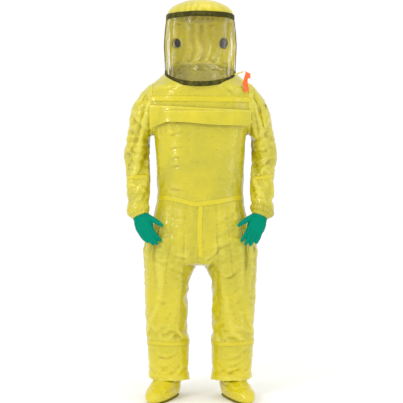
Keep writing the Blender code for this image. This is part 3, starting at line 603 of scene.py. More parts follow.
def rumple(points, scale, seed):
    """Signed noise for each point, at a number of cells per metre."""
    offset = Vector((seed * 7.3, seed * 3.1, seed * 5.7))
    return np.array([noise.noise(Vector(p) * scale + offset) for p in points])


def crinkle(points, scale, seed):
    """Sharp-crested noise from 0 to 1, as a stiff film folds."""
    return 1 - 2 * np.abs(rumple(points, scale, seed))


def fold(points, start, end, width, depth, front=True):
    """Push along the normal for one fold, seen from ahead or behind: a narrow groove under a wide crest."""
    a, b = np.array(start, float), np.array(end, float)
    plane = points[:, [0, 2]]
    along = b - a
    length = np.linalg.norm(along)
    along = along / length
    side = np.array((-along[1], along[0]))
    if side[1] < 0:
        side = -side
    t = (plane - a) @ along
    s = (plane - a) @ side
    share = np.clip(t / length, 0, 1)
    s = s + 0.10 * length * np.sin(share * math.pi) + 0.0015 * np.sin(share * 9 + start[0] * 40)
    ends = np.sin(share * math.pi) ** 0.8 * (0.75 + 0.25 * np.sin(share * 7 + start[1] * 30))
    crest = np.exp(-np.abs(s - 1.1 * width) / (2.8 * width)) * (s > -0.2 * width)
    crest = crest + np.exp(-(((s + 0.2 * width) / (0.9 * width)) ** 2)) * (s <= -0.2 * width) * 0.55
    groove = crest - 0.7 * np.exp(-(((s + 0.9 * width) / (0.8 * width)) ** 2))
    near = points[:, 1] < MIDDLE_Y + 0.02 if front else points[:, 1] > MIDDLE_Y - 0.02
    return depth * groove * ends * near


# garment


def body_stations():
    w, d, yoke = CHEST_W, CHEST_D, NECK_Z - SEAM_Z
    rise = WAIST_Z - 0.655
    return [
        level(0.668, HIP_W - 0.030, HIP_D - 0.012, 3.0),
        level(0.700, HIP_W - 0.002, HIP_D, 3.2),
        level(WAIST_Z - 0.73 * rise, HIP_W - 0.004, HIP_D, 3.0),
        level(WAIST_Z - 0.45 * rise, HIP_W - 0.036, HIP_D - 0.008, 2.7),
        level(WAIST_Z - 0.20 * rise, 0.222, HIP_D - 0.020, 2.6),
        level(WAIST_Z, 0.209, 0.131, 2.6),
        level(WAIST_Z + 0.12, 0.2115, 0.131, 2.7),
        level(ARMPIT_Z - 0.030, w - 0.019, d, 3.0),
        level(ARMPIT_Z + 0.040, w - 0.003, d, 3.4),
        level(SEAM_Z, w, d, 3.4),
        level(SEAM_Z + 0.30 * yoke, w - 0.002, d + 0.003, 3.0, tilt=0.05),
        level(SEAM_Z + 0.62 * yoke, w - 0.010, d + 0.014, 2.5, tilt=0.16),
        level(NECK_Z, 0.1695, 0.163, 2.0, tilt=NECK_TILT),
        level(NECK_Z + 0.070, 0.1705, 0.165, 2.0, tilt=0.26),
        level(NECK_Z + 0.150, 0.1735, 0.166, 2.0, tilt=0.12),
        level(VISOR_TOP_Z - 0.060, 0.170, 0.164, 2.0),
        level(VISOR_TOP_Z, 0.163, 0.160, 2.0),
        level(VISOR_TOP_Z + 0.020, 0.159, 0.157, 2.0, tilt=-0.03),
        level(VISOR_TOP_Z + 0.042, 0.145, 0.143, 2.0),
        level(VISOR_TOP_Z + 0.062, 0.115, 0.114, 2.0),
        level(CROWN_Z - 0.003, 0.060, 0.062, 2.0),
        level(CROWN_Z, 0.006, 0.006, 2.0),
    ]


def leg_stations(sign):
    rows = (
        (0.790, 0.126, 0.148, 0.148),
        (0.700, 0.128, 0.150, 0.152),
        (0.655, 0.127, 0.146, 0.153),
        (0.608, 0.117, 0.128, 0.160),
        (KNEE_Z + 0.045, 0.109, 0.110, 0.164),
        (KNEE_Z, 0.106, 0.104, 0.166),
        (KNEE_Z - 0.090, 0.104, 0.103, 0.164),
        (0.310, 0.103, 0.101, 0.160),
        (0.220, 0.101, 0.099, 0.157),
        (HEM_Z + 0.040, 0.099, 0.098, 0.155),
        (HEM_Z - 0.004, 0.099, 0.098, 0.155),
        (HEM_Z - 0.020, 0.099, 0.098, 0.155),
    )
    return [level(z, w, d, 2.2, x=x * sign) for z, w, d, x in rows]


def hand_axes(sign):
    """Down the hand, across it away from the body, and towards the back."""
    behind = (Vector((0, 1, 0)) - HAND_DIRECTION * HAND_DIRECTION.y).normalized()
    across = HAND_DIRECTION.cross(behind)
    flip = Vector((sign, 1, 1))
    return HAND_DIRECTION * flip, across * flip, behind * flip


def wrist(sign):
    return WRIST * Vector((sign, 1, 1))


def hand_station(sign, along, half_width, half_depth, power=2.0, aside=0.0):
    down, across, behind = hand_axes(sign)
    centre = wrist(sign) + down * along + across * aside
    return tuple(centre), tuple(across), tuple(behind), half_width, half_depth, power


def arm_stations(sign):
    inner, reach = ARMHOLE_X, ARM_HI.x - ARMHOLE_X
    top, under, hole = SHOULDER_Z, ARMPIT_Z, SHOULDER_Z - ARMPIT_Z
    rows = [
        ((inner - 0.090, under + 0.020), (inner - 0.090, top - 0.012), 0.0, 0.085),
        ((inner - 0.030, under + 0.006), (inner - 0.030, top + 0.013), 0.0, 0.096),
        ((inner, under), (inner, top + 0.010), 0.0, 0.097),
        ((inner + 0.001, under - 0.013), (inner + 0.38 * reach, top - 0.12 * hole), 0.004, 0.094),
        ((inner + 0.0025, under - 0.023), (inner + 0.67 * reach, top - 0.42 * hole), 0.012, 0.088),
        ((inner + 0.004, under - 0.035), (inner + 0.81 * reach, top - 0.80 * hole), 0.024, 0.078),
        ((inner + 0.0065, ELBOW_Z), (ARM_HI.x, ELBOW_Z), 0.035, 0.066),
    ]
    for share in (0.25, 0.50, 0.75):
        z = ELBOW_Z - FOREARM_DROP * share
        rows.append(
            (
                (inner + 0.0065 - 0.007 * share, z),
                (ARM_HI.x - 0.040 * share, z),
                0.035 - 0.135 * share,
                0.066 - 0.012 * share,
            )
        )
    stations = [arm_station(*row, sign) for row in rows]
    stations.append(hand_station(sign, -0.008, 0.055, 0.050))
    stations.append(hand_station(sign, 0.022, 0.053, 0.048))
    return stations


def garment_form():
    """One closed form of trunk, hood, sleeves and legs, as the suit stands filled."""
    parts = [tube("trunk", body_stations(), 150, 96)]
    for _, sign in SIDES:
        parts.append(tube("leg", leg_stations(sign), 70, 64))
        parts.append(tube("arm", arm_stations(sign), 70, 56))
    form = joined(parts, "garment")
    face_outward(form)
    modify(form, "REMESH", mode="VOXEL", voxel_size=sizes().voxel)
    modify(form, "SMOOTH", factor=0.5, iterations=3)
    return form


def looseness(points):
    """Share of the growth at each point: most in the sleeves, least in the hood."""
    x, z = np.abs(points[:, 0]), points[:, 2]
    share = np.where(z > WAIST_Z, 0.30, 0.62)
    share = np.where(z > SEAM_Z, 0.22, share)
    share = np.where(z > NECK_Z, 0.20, share)
    share = np.where((z > 0.44) & (z < 0.56), 0.80, share)
    share = np.where((x > ARMHOLE_X - 0.01) & (z > WRIST.z - 0.02), 0.85, share)
    share = np.where((x > ARMHOLE_X) & (np.abs(z - ELBOW_Z) < 0.07), 1.0, share)
    return share


def held(points):
    """Share by which seams, tapes and closed ends hold the fabric."""
    x, y, z = points.T
    plane = z - NECK_TILT * (y - MIDDLE_Y)
    share = np.zeros(len(points))
    share = np.where(np.abs(plane - NECK_Z) < 0.012, 1.0, share)
    share = np.where(np.abs(z - VISOR_TOP_Z) < 0.014, 1.0, share)
    share = np.where((plane > NECK_Z) & (y < MIDDLE_Y + 0.008), 1.0, share)
    share = np.where((np.abs(z - WAIST_Z) < 0.010) & (np.abs(x) < 0.235), 0.5, share)
    share = np.where((np.abs(z - SEAM_Z) < 0.008) & (np.abs(x) < 0.235), 0.6, share)
    share = np.where(z < HEM_Z + 0.012, 1.0, share)
    share = np.where(np.abs(z - (HEM_Z + 0.175)) < 0.008, 0.4, share)
    share = np.where((np.abs(np.abs(x) - ARMHOLE_X) < 0.006) & (z > ARMPIT_Z), 0.5, share)
    for _, sign in SIDES:
        down, _, _ = hand_axes(sign)
        along = (points - np.array(wrist(sign))) @ np.array(down)
        near = np.linalg.norm(points - np.array(wrist(sign)), axis=1) < 0.09
        share = np.where(near & (along > -0.022), 1.0, share)
    return share


def weigh(made, name, shares):
    """Vertex group with the shares in steps of a twentieth."""
    group = made.vertex_groups.new(name=name)
    steps = np.round(np.asarray(shares) * 20).astype(int)
    for step in np.unique(steps):
        group.add(np.nonzero(steps == step)[0].tolist(), float(step) / 20, "REPLACE")
    return group


def simulate(made, pins, growth, shares, frames, gravity, bending):
    """Cloth whose fabric grows and settles into folds; the result becomes the mesh."""
    weigh(made, "held", pins)
    weigh(made, "loose", shares)
    cloth = made.modifiers.new("cloth", "CLOTH")
    settings = cloth.settings
    settings.quality = 5
    settings.mass = 0.2
    settings.tension_stiffness = 18
    settings.compression_stiffness = 18
    settings.shear_stiffness = 6
    settings.bending_stiffness = bending
    settings.vertex_group_mass = "held"
    settings.pin_stiffness = 1.0
    settings.shrink_min = 0.0
    settings.shrink_max = -growth
    settings.vertex_group_shrink = "loose"
    settings.effector_weights.gravity = gravity
    settings.use_pressure = True
    settings.uniform_pressure_force = 0.35
    cloth.collision_settings.use_collision = False
    cloth.point_cache.frame_start = 1
    cloth.point_cache.frame_end = frames
    scene = bpy.context.scene
    for number in range(1, frames + 1):
        scene.frame_set(number)
    apply_modifiers(made)
    scene.frame_set(1)
    made.vertex_groups.clear()


# folds of the garment: start and end as x and z, half width, depth
FRONT_FOLDS = (
    # hips, groin and thighs
    ((0.018, 0.682), (0.090, 0.752), 0.006, 0.0075),
    ((0.032, 0.640), (0.068, 0.720), 0.006, 0.0045),
    ((0.098, 0.592), (0.190, 0.652), 0.007, 0.0065),
    ((0.090, 0.520), (0.200, 0.560), 0.007, 0.0030),
    ((0.048, 0.850), (0.190, 0.955), 0.007, 0.0042),
    ((0.060, 0.800), (0.215, 0.905), 0.008, 0.0035),
    ((0.030, 0.742), (0.165, 0.792), 0.007, 0.0055),
    ((0.150, 0.862), (0.222, 0.930), 0.006, 0.0030),
    ((-0.140, 0.722), (-0.048, 0.700), 0.006, 0.0060),
    ((-0.150, 0.660), (-0.062, 0.622), 0.007, 0.0050),
    ((-0.128, 0.610), (-0.062, 0.585), 0.006, 0.0035),
    ((-0.215, 0.700), (-0.150, 0.672), 0.007, 0.0040),
    ((-0.052, 0.920), (-0.130, 0.885), 0.006, 0.0030),
    ((-0.190, 0.820), (-0.110, 0.850), 0.008, 0.0030),
    # knees and shins
    ((-0.225, 0.505), (-0.140, 0.480), 0.008, 0.0025),
    ((-0.120, 0.440), (-0.205, 0.420), 0.008, 0.0022),
    ((0.120, 0.480), (0.215, 0.505), 0.008, 0.0025),
    ((-0.215, 0.218), (-0.105, 0.232), 0.006, 0.0060),
    ((-0.205, 0.170), (-0.130, 0.180), 0.006, 0.0035),
    ((-0.180, 0.135), (-0.105, 0.150), 0.006, 0.0030),
    ((0.130, 0.205), (0.232, 0.262), 0.007, 0.0045),
    ((0.110, 0.170), (0.222, 0.212), 0.007, 0.0050),
    ((0.100, 0.140), (0.190, 0.165), 0.006, 0.0040),
    # trunk
    ((-0.160, 1.288), (-0.084, 1.308), 0.006, 0.0062),
    ((-0.150, 1.226), (-0.084, 1.238), 0.006, 0.0055),
    ((-0.150, 1.176), (-0.090, 1.188), 0.006, 0.0048),
    ((-0.146, 1.136), (-0.098, 1.146), 0.006, 0.0042),
    ((-0.150, 1.036), (-0.070, 1.028), 0.006, 0.0045),
    ((-0.060, 1.200), (0.010, 1.150), 0.009, 0.0020),
    ((0.060, 1.240), (0.150, 1.200), 0.010, 0.0022),
    ((0.040, 1.110), (0.140, 1.080), 0.010, 0.0022),
    ((-0.200, 1.020), (-0.190, 1.120), 0.008, 0.0030),
    ((0.195, 1.010), (0.203, 1.130), 0.008, 0.0035),
    ((-0.205, 1.345), (-0.190, 1.230), 0.008, 0.0040),
    ((0.205, 1.330), (0.192, 1.200), 0.008, 0.0035),
    # yoke
    ((-0.138, 1.560), (-0.150, 1.465), 0.006, 0.0030),
    ((-0.080, 1.520), (-0.105, 1.475), 0.006, 0.0018),
    ((0.100, 1.530), (0.160, 1.490), 0.006, 0.0028),
    ((0.135, 1.500), (0.205, 1.475), 0.006, 0.0025),
    # the wearer's right sleeve
    ((-0.345, 1.420), (-0.222, 1.292), 0.008, 0.0085),
    ((-0.352, 1.360), (-0.290, 1.270), 0.008, 0.0050),
    ((-0.258, 1.452), (-0.243, 1.340), 0.007, 0.0050),
    ((-0.345, 1.230), (-0.262, 1.196), 0.007, 0.0060),
    ((-0.262, 1.180), (-0.330, 1.160), 0.007, 0.0040),
    ((-0.360, 1.110), (-0.300, 1.090), 0.008, 0.0025),
    ((-0.330, 0.955), (-0.268, 0.990), 0.006, 0.0035),
    # the wearer's left sleeve
    ((0.352, 1.400), (0.268, 1.270), 0.008, 0.0050),
    ((0.268, 1.455), (0.262, 1.330), 0.006, 0.0045),
    ((0.254, 1.255), (0.330, 1.320), 0.007, 0.0075),
    ((0.262, 1.205), (0.348, 1.238), 0.007, 0.0070),
    ((0.266, 1.140), (0.350, 1.178), 0.007, 0.0065),
    ((0.275, 1.090), (0.330, 1.130), 0.006, 0.0035),
    ((0.270, 0.990), (0.340, 1.020), 0.007, 0.0025),
)

BACK_FOLDS = (
    ((-0.200, 1.480), (-0.090, 1.380), 0.010, 0.0050),
    ((0.200, 1.480), (0.090, 1.380), 0.010, 0.0050),
    ((-0.180, 1.060), (-0.030, 1.020), 0.010, 0.0050),
    ((0.180, 1.070), (0.030, 1.025), 0.010, 0.0050),
    ((-0.230, 0.760), (-0.050, 0.700), 0.010, 0.0060),
    ((0.230, 0.760), (0.050, 0.700), 0.010, 0.0060),
    ((-0.240, 0.530), (-0.100, 0.505), 0.009, 0.0060),
    ((0.240, 0.530), (0.100, 0.505), 0.009, 0.0060),
    ((-0.225, 0.470), (-0.110, 0.450), 0.008, 0.0050),
    ((0.225, 0.470), (0.110, 0.450), 0.008, 0.0050),
    ((-0.370, 1.220), (-0.262, 1.170), 0.009, 0.0060),
    ((0.370, 1.220), (0.262, 1.170), 0.009, 0.0060),
)


def detail_garment(form):
    """Named folds, crown gathers and a stiff film's crinkles on the finished mesh."""
    points, normals = points_of(form), normals_of(form)
    loose = looseness(points)
    push = np.zeros(len(points))
    for start, end, width, depth in FRONT_FOLDS:
        push += fold(points, start, end, width * 1.35, depth * 1.15)
    for start, end, width, depth in BACK_FOLDS:
        push += fold(points, start, end, width, depth, front=False)
    push += 0.0034 * (0.4 + loose) * rumple(points, 9.0, 1)
    sleeve = np.abs(points[:, 0]) > ARMHOLE_X
    push += (0.0012 + 0.0030 * loose * sleeve) * (crinkle(points * (1, 1, 1.5), 17.0, 2) - 0.6)
    push += (0.0006 + 0.0008 * loose) * (crinkle(points * (1, 1, 1.3), 45.0, 3) - 0.6)
    angle = np.arctan2(points[:, 1] - MIDDLE_Y, points[:, 0])
    up = (points[:, 2] - VISOR_TOP_Z) / (CROWN_Z - VISOR_TOP_Z)
    gather = np.clip(up * 6, 0, 1) * np.clip(1.15 - up, 0, 1) ** 1.4
    ridges = np.cos(26 * angle + 5 * rumple(points, 12.0, 4)) * (1 + rumple(points, 7.0, 16))
    push += 0.0062 * gather * (ridges - 0.35) * (points[:, 2] > VISOR_TOP_Z)
    wall = (points[:, 1] > MIDDLE_Y + 0.02) * np.clip(up * -6, 0, 1) * (points[:, 2] > NECK_Z + 0.03)
    gathers = np.cos(15 * angle + 4 * rumple(points, 9.0, 14)) + 0.6 * rumple(points, 26.0, 15)
    push += 0.0045 * wall * gathers
    push *= 1 - 0.75 * (held(points) > 0.9)
    move_to(form, points + normals * push[:, None])
    mark_painted_shading(form)


def cut_piece(form, name, planes, finish_name):
    """The largest part of the form behind all the planes, each a point and the normal that is cut off."""
    bm = bmesh.new()
    bm.from_mesh(form.data)
    for place, normal in planes:
        geometry = bm.verts[:] + bm.edges[:] + bm.faces[:]
        bmesh.ops.bisect_plane(
            bm, geom=geometry, dist=1e-6, plane_co=Vector(place), plane_no=Vector(normal), clear_outer=True
        )
    bm.verts.ensure_lookup_table()
    island, best = {}, []
    for start in bm.verts:
        if start in island:
            continue
        found, queue = [start], [start]
        island[start] = True
        while queue:
            for edge in queue.pop().link_edges:
                for vert in edge.verts:
                    if vert not in island:
                        island[vert] = True
                        found.append(vert)
                        queue.append(vert)
        if len(found) > len(best):
            best = found
    keep = set(best)
    bmesh.ops.delete(bm, geom=[v for v in bm.verts if v not in keep], context="VERTS")
    mesh = bpy.data.meshes.new(name)
    bm.to_mesh(mesh)
    bm.free()
    mesh.materials.clear()
    mesh.materials.append(finish(finish_name))
    mesh.polygons.foreach_set("use_smooth", [True] * len(mesh.polygons))
    made = bpy.data.objects.new(name, mesh)
    bpy.context.scene.collection.objects.link(made)
    return made


def neck_plane(up):
    normal = Vector((0, -NECK_TILT, 1)).normalized()
    return (0, MIDDLE_Y, NECK_Z), normal * up


def crown_plane(up):
    return (0, MIDDLE_Y, VISOR_TOP_Z), Vector((0, 0, up))


TREES = {}


def remember(name, *objects):
    """Surface to lay tapes on, kept as a tree for ray casts."""
    verts, faces, base = [], [], 0
    for one in objects:
        verts += [v.co.copy() for v in one.data.vertices]
        faces += [tuple(i + base for i in p.vertices) for p in one.data.polygons]
        base = len(verts)
    TREES[name] = BVHTree.FromPolygons(verts, faces)


def dress(made, body, slot_name, *nodes):
    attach(made, body)
    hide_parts(*nodes)


def carry(made, body):
    """Piece that stands for no node of its own."""
    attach(made, body)


def gusset(name, x, half_depth, half_height, sign):
    """Cone of fabric round an armhole, narrowing towards the body."""
    mouth, inward = 0.064, 0.010
    points = []
    for share in (0.0, 0.35, 0.7, 1.0):
        for angle in turns(72):
            y = math.cos(angle) * (half_depth + (mouth - half_depth) * share)
            z = math.sin(angle) * (half_height + (mouth - half_height) * share)
            points.append(Vector(((x - inward * share) * sign, MIDDLE_Y + y, ARMHOLE_Z + z)))
    ring = mesh_object(name, points, grid_faces(4, 72, True), "coated_fabric")
    modify(ring, "SOLIDIFY", thickness=0.0008, offset=0.0)
    return ring


class SUIT_OT_coverall(bpy.types.Operator):
    """Simulates the whole garment, then cuts it at its seams"""

    bl_idname = "suit.coverall"
    bl_label = "Coverall"

    def execute(self, context):
        form = garment_form()
        before = points_of(form)
        seed = 0.0012 * rumple(before, 22.0, 9)
        move_to(form, before + normals_of(form) * seed[:, None])
        pins, loose = held(before), looseness(before)
        simulate(form, pins, sizes().growth, loose, sizes().frames, 0.30, 0.6)
        moved = points_of(form) - before
        distance = np.linalg.norm(moved, axis=1)
        cap = sizes().fold_cap * (0.25 + 0.75 * loose)
        share = np.minimum(1, cap * np.tanh(distance / cap) / np.maximum(distance, 1e-9))
        moved *= share[:, None]
        normals = normals_of(form)
        sunk = smoothed(form, (moved * normals).sum(1), 60)
        move_to(form, before + moved - normals * sunk)
        modify(form, "SUBSURF", levels=1)
        detail_garment(form)
        remember("garment", form)

        torso = cut_piece(
            form,
            "torso_fabric",
            [
                ((0, 0, WAIST_Z), (0, 0, -1)),
                neck_plane(1),
                ((ARMHOLE_X, 0, 0), (1, 0, 0)),
                ((-ARMHOLE_X, 0, 0), (-1, 0, 0)),
            ],
            "coated_fabric",
        )
        dress(torso, "suit", "fabric", "torso_front", "torso_back", "chest_front", "yoke_front", "yoke_back")
        legs = []
        for side, sign in SIDES:
            planes = [
                ((0, 0, WAIST_Z), (0, 0, 1)),
                ((0, 0, 0), (-sign, 0, 0)),
                ((0, 0, HEM_Z + 0.006), (0, 0, -1)),
            ]
            leg = cut_piece(form, f"trouser_fabric_{side}", planes, "coated_fabric")
            nodes = (f"{piece}_{face}_{side}" for piece in ("trouser", "shin") for face in ("front", "back"))
            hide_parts(*nodes)
            remember(f"leg_{side}", leg)
            legs.append(leg)
        remember("trunk", torso, *legs)
        for (side, sign), leg in zip(SIDES, legs):
            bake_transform(leg)
        for side, sign in SIDES:
            down, _, _ = hand_axes(sign)
            split = ELBOW_Z + 0.105
            outside = ((ARMHOLE_X * sign, 0, 0), (-sign, 0, 0))
            sleeve = cut_piece(
                form, f"sleeve_fabric_{side}", [outside, ((0, 0, split), (0, 0, -1))], "coated_fabric"
            )
            dress(sleeve, f"upper_arm_{side}", "fabric", f"upper_sleeve_{side}")
            forearm = cut_piece(
                form,
                f"forearm_fabric_{side}",
                [
                    ((ARMHOLE_X * sign - 0.012 * sign, 0, 0), (-sign, 0, 0)),
                    ((0, 0, split), (0, 0, 1)),
                    ((0, 0, WRIST.z - 0.04), (0, 0, -1)),
                    (wrist(sign) - down * 0.004, down),
                ],
                "coated_fabric",
            )
            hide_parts(f"lower_sleeve_{side}")
            remember(f"forearm_{side}", forearm)
            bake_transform(forearm)
            carry(gusset(f"armhole_gusset_{side}", ARMHOLE_X - 0.004, 0.088, 0.108, sign), "suit")
            ring = gusset(f"sleeve_gusset_{side}", ARMHOLE_X + 0.003, 0.090, 0.108, sign)
            carry(ring, f"upper_arm_{side}")
        planes = [neck_plane(-1), crown_plane(1), ((0, MIDDLE_Y, 0), (0, -1, 0))]
        # the hood's back takes the fabric copy with painted light and a painted glow
        back = cut_piece(form, "hood_back_fabric", planes, "coated_fabric_lit")
        dress(back, "suit", "fabric", "hood_back")
        crown = cut_piece(form, "hood_crown_fabric", [crown_plane(-1)], "coated_fabric_bright")
        dress(crown, "suit", "fabric", "hood_crown")
        bpy.data.objects.remove(form)
        return {"FINISHED"}


# tapes and bindings


def laid_strip(name, surface_name, rays, finish_name, thickness, wrap=False):
    """Strip of film on a surface; rays is a grid of (origin, direction) rows."""
    tree = TREES[surface_name]
    points, columns = [], len(rays[0])
    for row in rays:
        last = None
        for origin, direction in row:
            direction = Vector(direction).normalized()
            hit = tree.ray_cast(Vector(origin), direction)
            place = hit[0] if hit[0] is not None else last
            if place is None:
                place = Vector(origin) + direction * 0.2
            last = place
            points.append(place - direction * thickness)
    grid = np.array([tuple(p) for p in points]).reshape(len(rays), columns, 3)
    for _ in range(2):
        if wrap:
            grid = 0.5 * grid + 0.25 * (np.roll(grid, 1, 1) + np.roll(grid, -1, 1))
        else:
            grid[:, 1:-1] = 0.5 * grid[:, 1:-1] + 0.25 * (grid[:, :-2] + grid[:, 2:])
    made = mesh_object(name, grid.reshape(-1, 3), grid_faces(len(rays), columns, wrap), finish_name)
    modify(made, "SOLIDIFY", thickness=0.0009, offset=0.0)
    return made


def front_rays(columns, heights, centre):
    """Rays towards the back; centre gives the height of the strip's middle at each x."""
    return [[((x, AHEAD_Y, centre(x) + h), (0, 1, 0)) for x in columns] for h in heights]


def ring_rays(centre, count, heights, sag, radius=0.5):
    """Rays towards an upright axis; sag gives the rise of the strip's middle in each direction."""
    rows = []
    for h in heights:
        row = []
        for angle in turns(count):
            outward = Vector((math.cos(angle), math.sin(angle), 0))
            place = Vector(centre) + outward * radius + Vector((0, 0, h + sag(outward)))
            row.append((place, -outward))
        rows.append(row)
    return rows


def across_heights(height, steps=5):
    return np.linspace(-height / 2, height / 2, steps)


class SUIT_OT_seam_tapes(bpy.types.Operator):
    """Lays the heat-sealed tapes over the garment's seams"""

    bl_idname = "suit.seam_tapes"
    bl_label = "Seam tapes"

    def execute(self, context):
        lift = sizes().tape_lift
        tape = "heat_sealed_seam_tape"
        columns = np.linspace(-ARMHOLE_X + 0.004, ARMHOLE_X - 0.004, 120)
        rays = front_rays(columns, across_heights(sizes().chest_tape), lambda x: SEAM_Z + 0.001 - 0.012 * x)
        chest = laid_strip("chest_tape_film", "trunk", rays, tape, lift)
        dress(chest, "suit", "tape", "chest_seam_tape")

        def sag(outward):
            front = max(0.0, -outward.y)
            return -0.030 * front**3 + 0.006 + 0.0025 * math.sin(7 * outward.x)

        heights = across_heights(sizes().body_tape)
        rays = ring_rays((0, MIDDLE_Y, WAIST_Z), 220, heights, sag)
        waist = laid_strip("waist_tape_film", "trunk", rays, tape, lift, wrap=True)
        dress(waist, "suit", "tape", "waist_tape")

        low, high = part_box("centre_front_tape")
        rows = np.linspace(low.z + 0.002, high.z - 0.010, 90)
        half = sizes().body_tape / 2
        rays = [
            [((x + 0.0025 * math.sin(z * 21), AHEAD_Y, z), (0, 1, 0)) for z in rows]
            for x in np.linspace(-half, half, 5)
        ]
        centre = laid_strip("centre_tape_film", "trunk", rays, tape, lift * 0.7)
        dress(centre, "suit", "tape", "centre_front_tape")

        heights = across_heights(sizes().limb_tape, 4)
        for side, sign in SIDES:
            low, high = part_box(f"shin_tape_{side}")
            middle = (0.159 * sign, MIDDLE_Y, (low.z + high.z) / 2)
            rays = ring_rays(middle, 96, heights, lambda outward: 0.004 * outward.x * sign, 0.155)
            shin = laid_strip(f"shin_tape_film_{side}", f"leg_{side}", rays, tape, lift, wrap=True)
            dress(shin, f"lower_leg_{side}", "tape", f"shin_tape_{side}")
            low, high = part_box(f"forearm_tape_{side}")
            middle = (low + high) / 2
            rays = ring_rays(middle, 80, heights, lambda outward: 0.006 * outward.x, 0.11)
            arm = laid_strip(f"forearm_tape_film_{side}", f"forearm_{side}", rays, tape, lift, wrap=True)
            dress(arm, f"forearm_{side}", "tape", f"forearm_tape_{side}")
            rows = []
            for x in (ARMHOLE_X - 0.012, ARMHOLE_X - 0.008, ARMHOLE_X - 0.004, ARMHOLE_X - 0.0005):
                row = []
                for angle in turns(90):
                    outward = Vector((0, math.cos(angle), math.sin(angle)))
                    centre_point = Vector((x * sign, MIDDLE_Y, ARMHOLE_Z))
                    row.append((centre_point + outward * 0.3, -outward))
                rows.append(row)
            hole = laid_strip(f"armhole_seam_{side}", "garment", rows, "coated_fabric", 0.0008, wrap=True)
            carry(hole, "suit")
        return {"FINISHED"}


def swept_band(name, path, outwards, ups, half_height, bulge, finish_name):
    """Closed rounded band along a path, wavy as sewn binding is."""
    profile = 14
    points = []
    for place, outward, up in zip(path, outwards, ups):
        wave = 1 + 0.06 * noise.noise(Vector(place) * 38)
        for angle in turns(profile):
            c, s = math.cos(angle), math.sin(angle)
            lift = math.copysign(abs(c) ** 0.7, c) * bulge
            rise = math.copysign(abs(s) ** 0.45, s) * half_height * wave
            points.append(Vector(place) + Vector(outward) * lift + Vector(up) * rise)
    return mesh_object(name, points, closed_faces(len(path), profile), finish_name)


def hood_outline(share):
    """Half width, half depth and tilt of the hood between its neck and the top of its visor."""
    stations = (
        (0.168, 0.163, NECK_TILT),
        (0.1705, 0.165, 0.26),
        (0.1735, 0.166, 0.12),
        (0.1695, 0.164, 0.0),
        (0.162, 0.159, 0.0),
    )
    return spread(stations, 201)[int(round(200 * share))]


def hood_point(angle, share, out=0.0):
    """Place on the hood, share of the way up its visor and out from its surface."""
    width, depth, tilt = hood_outline(share)
    z = NECK_Z + (VISOR_TOP_Z - NECK_Z) * share
    y = (depth + out) * math.sin(angle)
    return Vector(((width + out) * math.cos(angle), MIDDLE_Y + y, z + tilt * y))


class SUIT_OT_hood(bpy.types.Operator):
    """Clear wrap-around visor and its woven bindings"""

    bl_idname = "suit.hood"
    bl_label = "Visor and bindings"

    def execute(self, context):
        rows, columns = 48, 96
        points = []
        for r in range(rows):
            share = r / (rows - 1)
            for c in range(columns):
                angle = -math.pi + math.pi * c / (columns - 1)
                place = hood_point(angle, share)
                ripple = 0.0012 * noise.noise(place * 13) * math.sin(math.pi * share)
                points.append(place + Vector((math.cos(angle), math.sin(angle), 0)) * ripple)
        visor = mesh_object("visor_film", points, grid_faces(rows, columns, False), "clear_visor_film")
        dress(visor, "suit", "visor", "visor")

        for name, share, half, bulge, node in (
            ("visor_top_binding_tape", 1.0, sizes().binding * 0.52, 0.0030, "visor_top_binding"),
            ("visor_bottom_binding_tape", 0.0, sizes().binding * 0.48, 0.0032, "visor_bottom_binding"),
        ):
            path, outwards, ups = [], [], []
            for i in range(121):
                angle = -math.pi - 0.02 + (math.pi + 0.04) * i / 120
                place = hood_point(angle, share, 0.0015)
                outward = Vector((math.cos(angle), math.sin(angle), 0))
                path.append(place + Vector((0, 0, 0.0025 * noise.noise(place * 9))))
                outwards.append(outward)
                ups.append(Vector((0, 0, 1)))
            made = swept_band(name, path, outwards, ups, half, bulge, "woven_bias_binding")
            dress(made, "suit", "binding", node)
        for side, sign in SIDES:
            path = [hood_point(0.0 if sign > 0 else math.pi, s, 0.0012) for s in np.linspace(0.02, 0.98, 40)]
            outwards, ups = [Vector((sign, 0, 0))] * 40, [Vector((0, 1, 0))] * 40
            name = f"visor_edge_binding_{side}"
            made = swept_band(name, path, outwards, ups, 0.0034, 0.0020, "woven_bias_binding")
            carry(made, "suit")
        return {"FINISHED"}


def turned(name, profile, place, finish_name, count=56):
    """Turned piece; the profile is radius and height along the axis, closed on itself."""
    points = []
    for angle in turns(count):
        for radius, height in profile:
            points.append(place @ Vector((radius * math.cos(angle), radius * math.sin(angle), height)))
    n = len(profile)
    faces = []
    for i in range(count):
        j = (i + 1) % count
        for k in range(n):
            m = (k + 1) % n
            faces.append((i * n + k, j * n + k, j * n + m, i * n + m))
    made = mesh_object(name, points, faces, finish_name)
    modify(made, "BEVEL", width=0.0005, segments=2, limit_method="ANGLE", angle_limit=math.radians(35))
    modify(made, "WEIGHTED_NORMAL", keep_sharp=True)
    return made


def valve_place(sign):
    """Frame on the hood's wall whose third axis points out of the hood."""
    low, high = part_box("exhaust_valve_body_left")
    z = (low.z + high.z) / 2
    x, y = HOOD_W * math.cos(VALVE_TURN), VALVE_BACK * math.sin(VALVE_TURN)
    outward = Vector((x / HOOD_W**2, y / VALVE_BACK**2, 0)).normalized()
    across = Vector((0, 0, 1)).cross(outward)
    place = Matrix((across, Vector((0, 0, 1)), outward)).transposed().to_4x4()
    place.translation = Vector((x, MIDDLE_Y + y, z))
    return place if sign > 0 else Matrix.Diagonal((-1, 1, 1, 1)) @ place


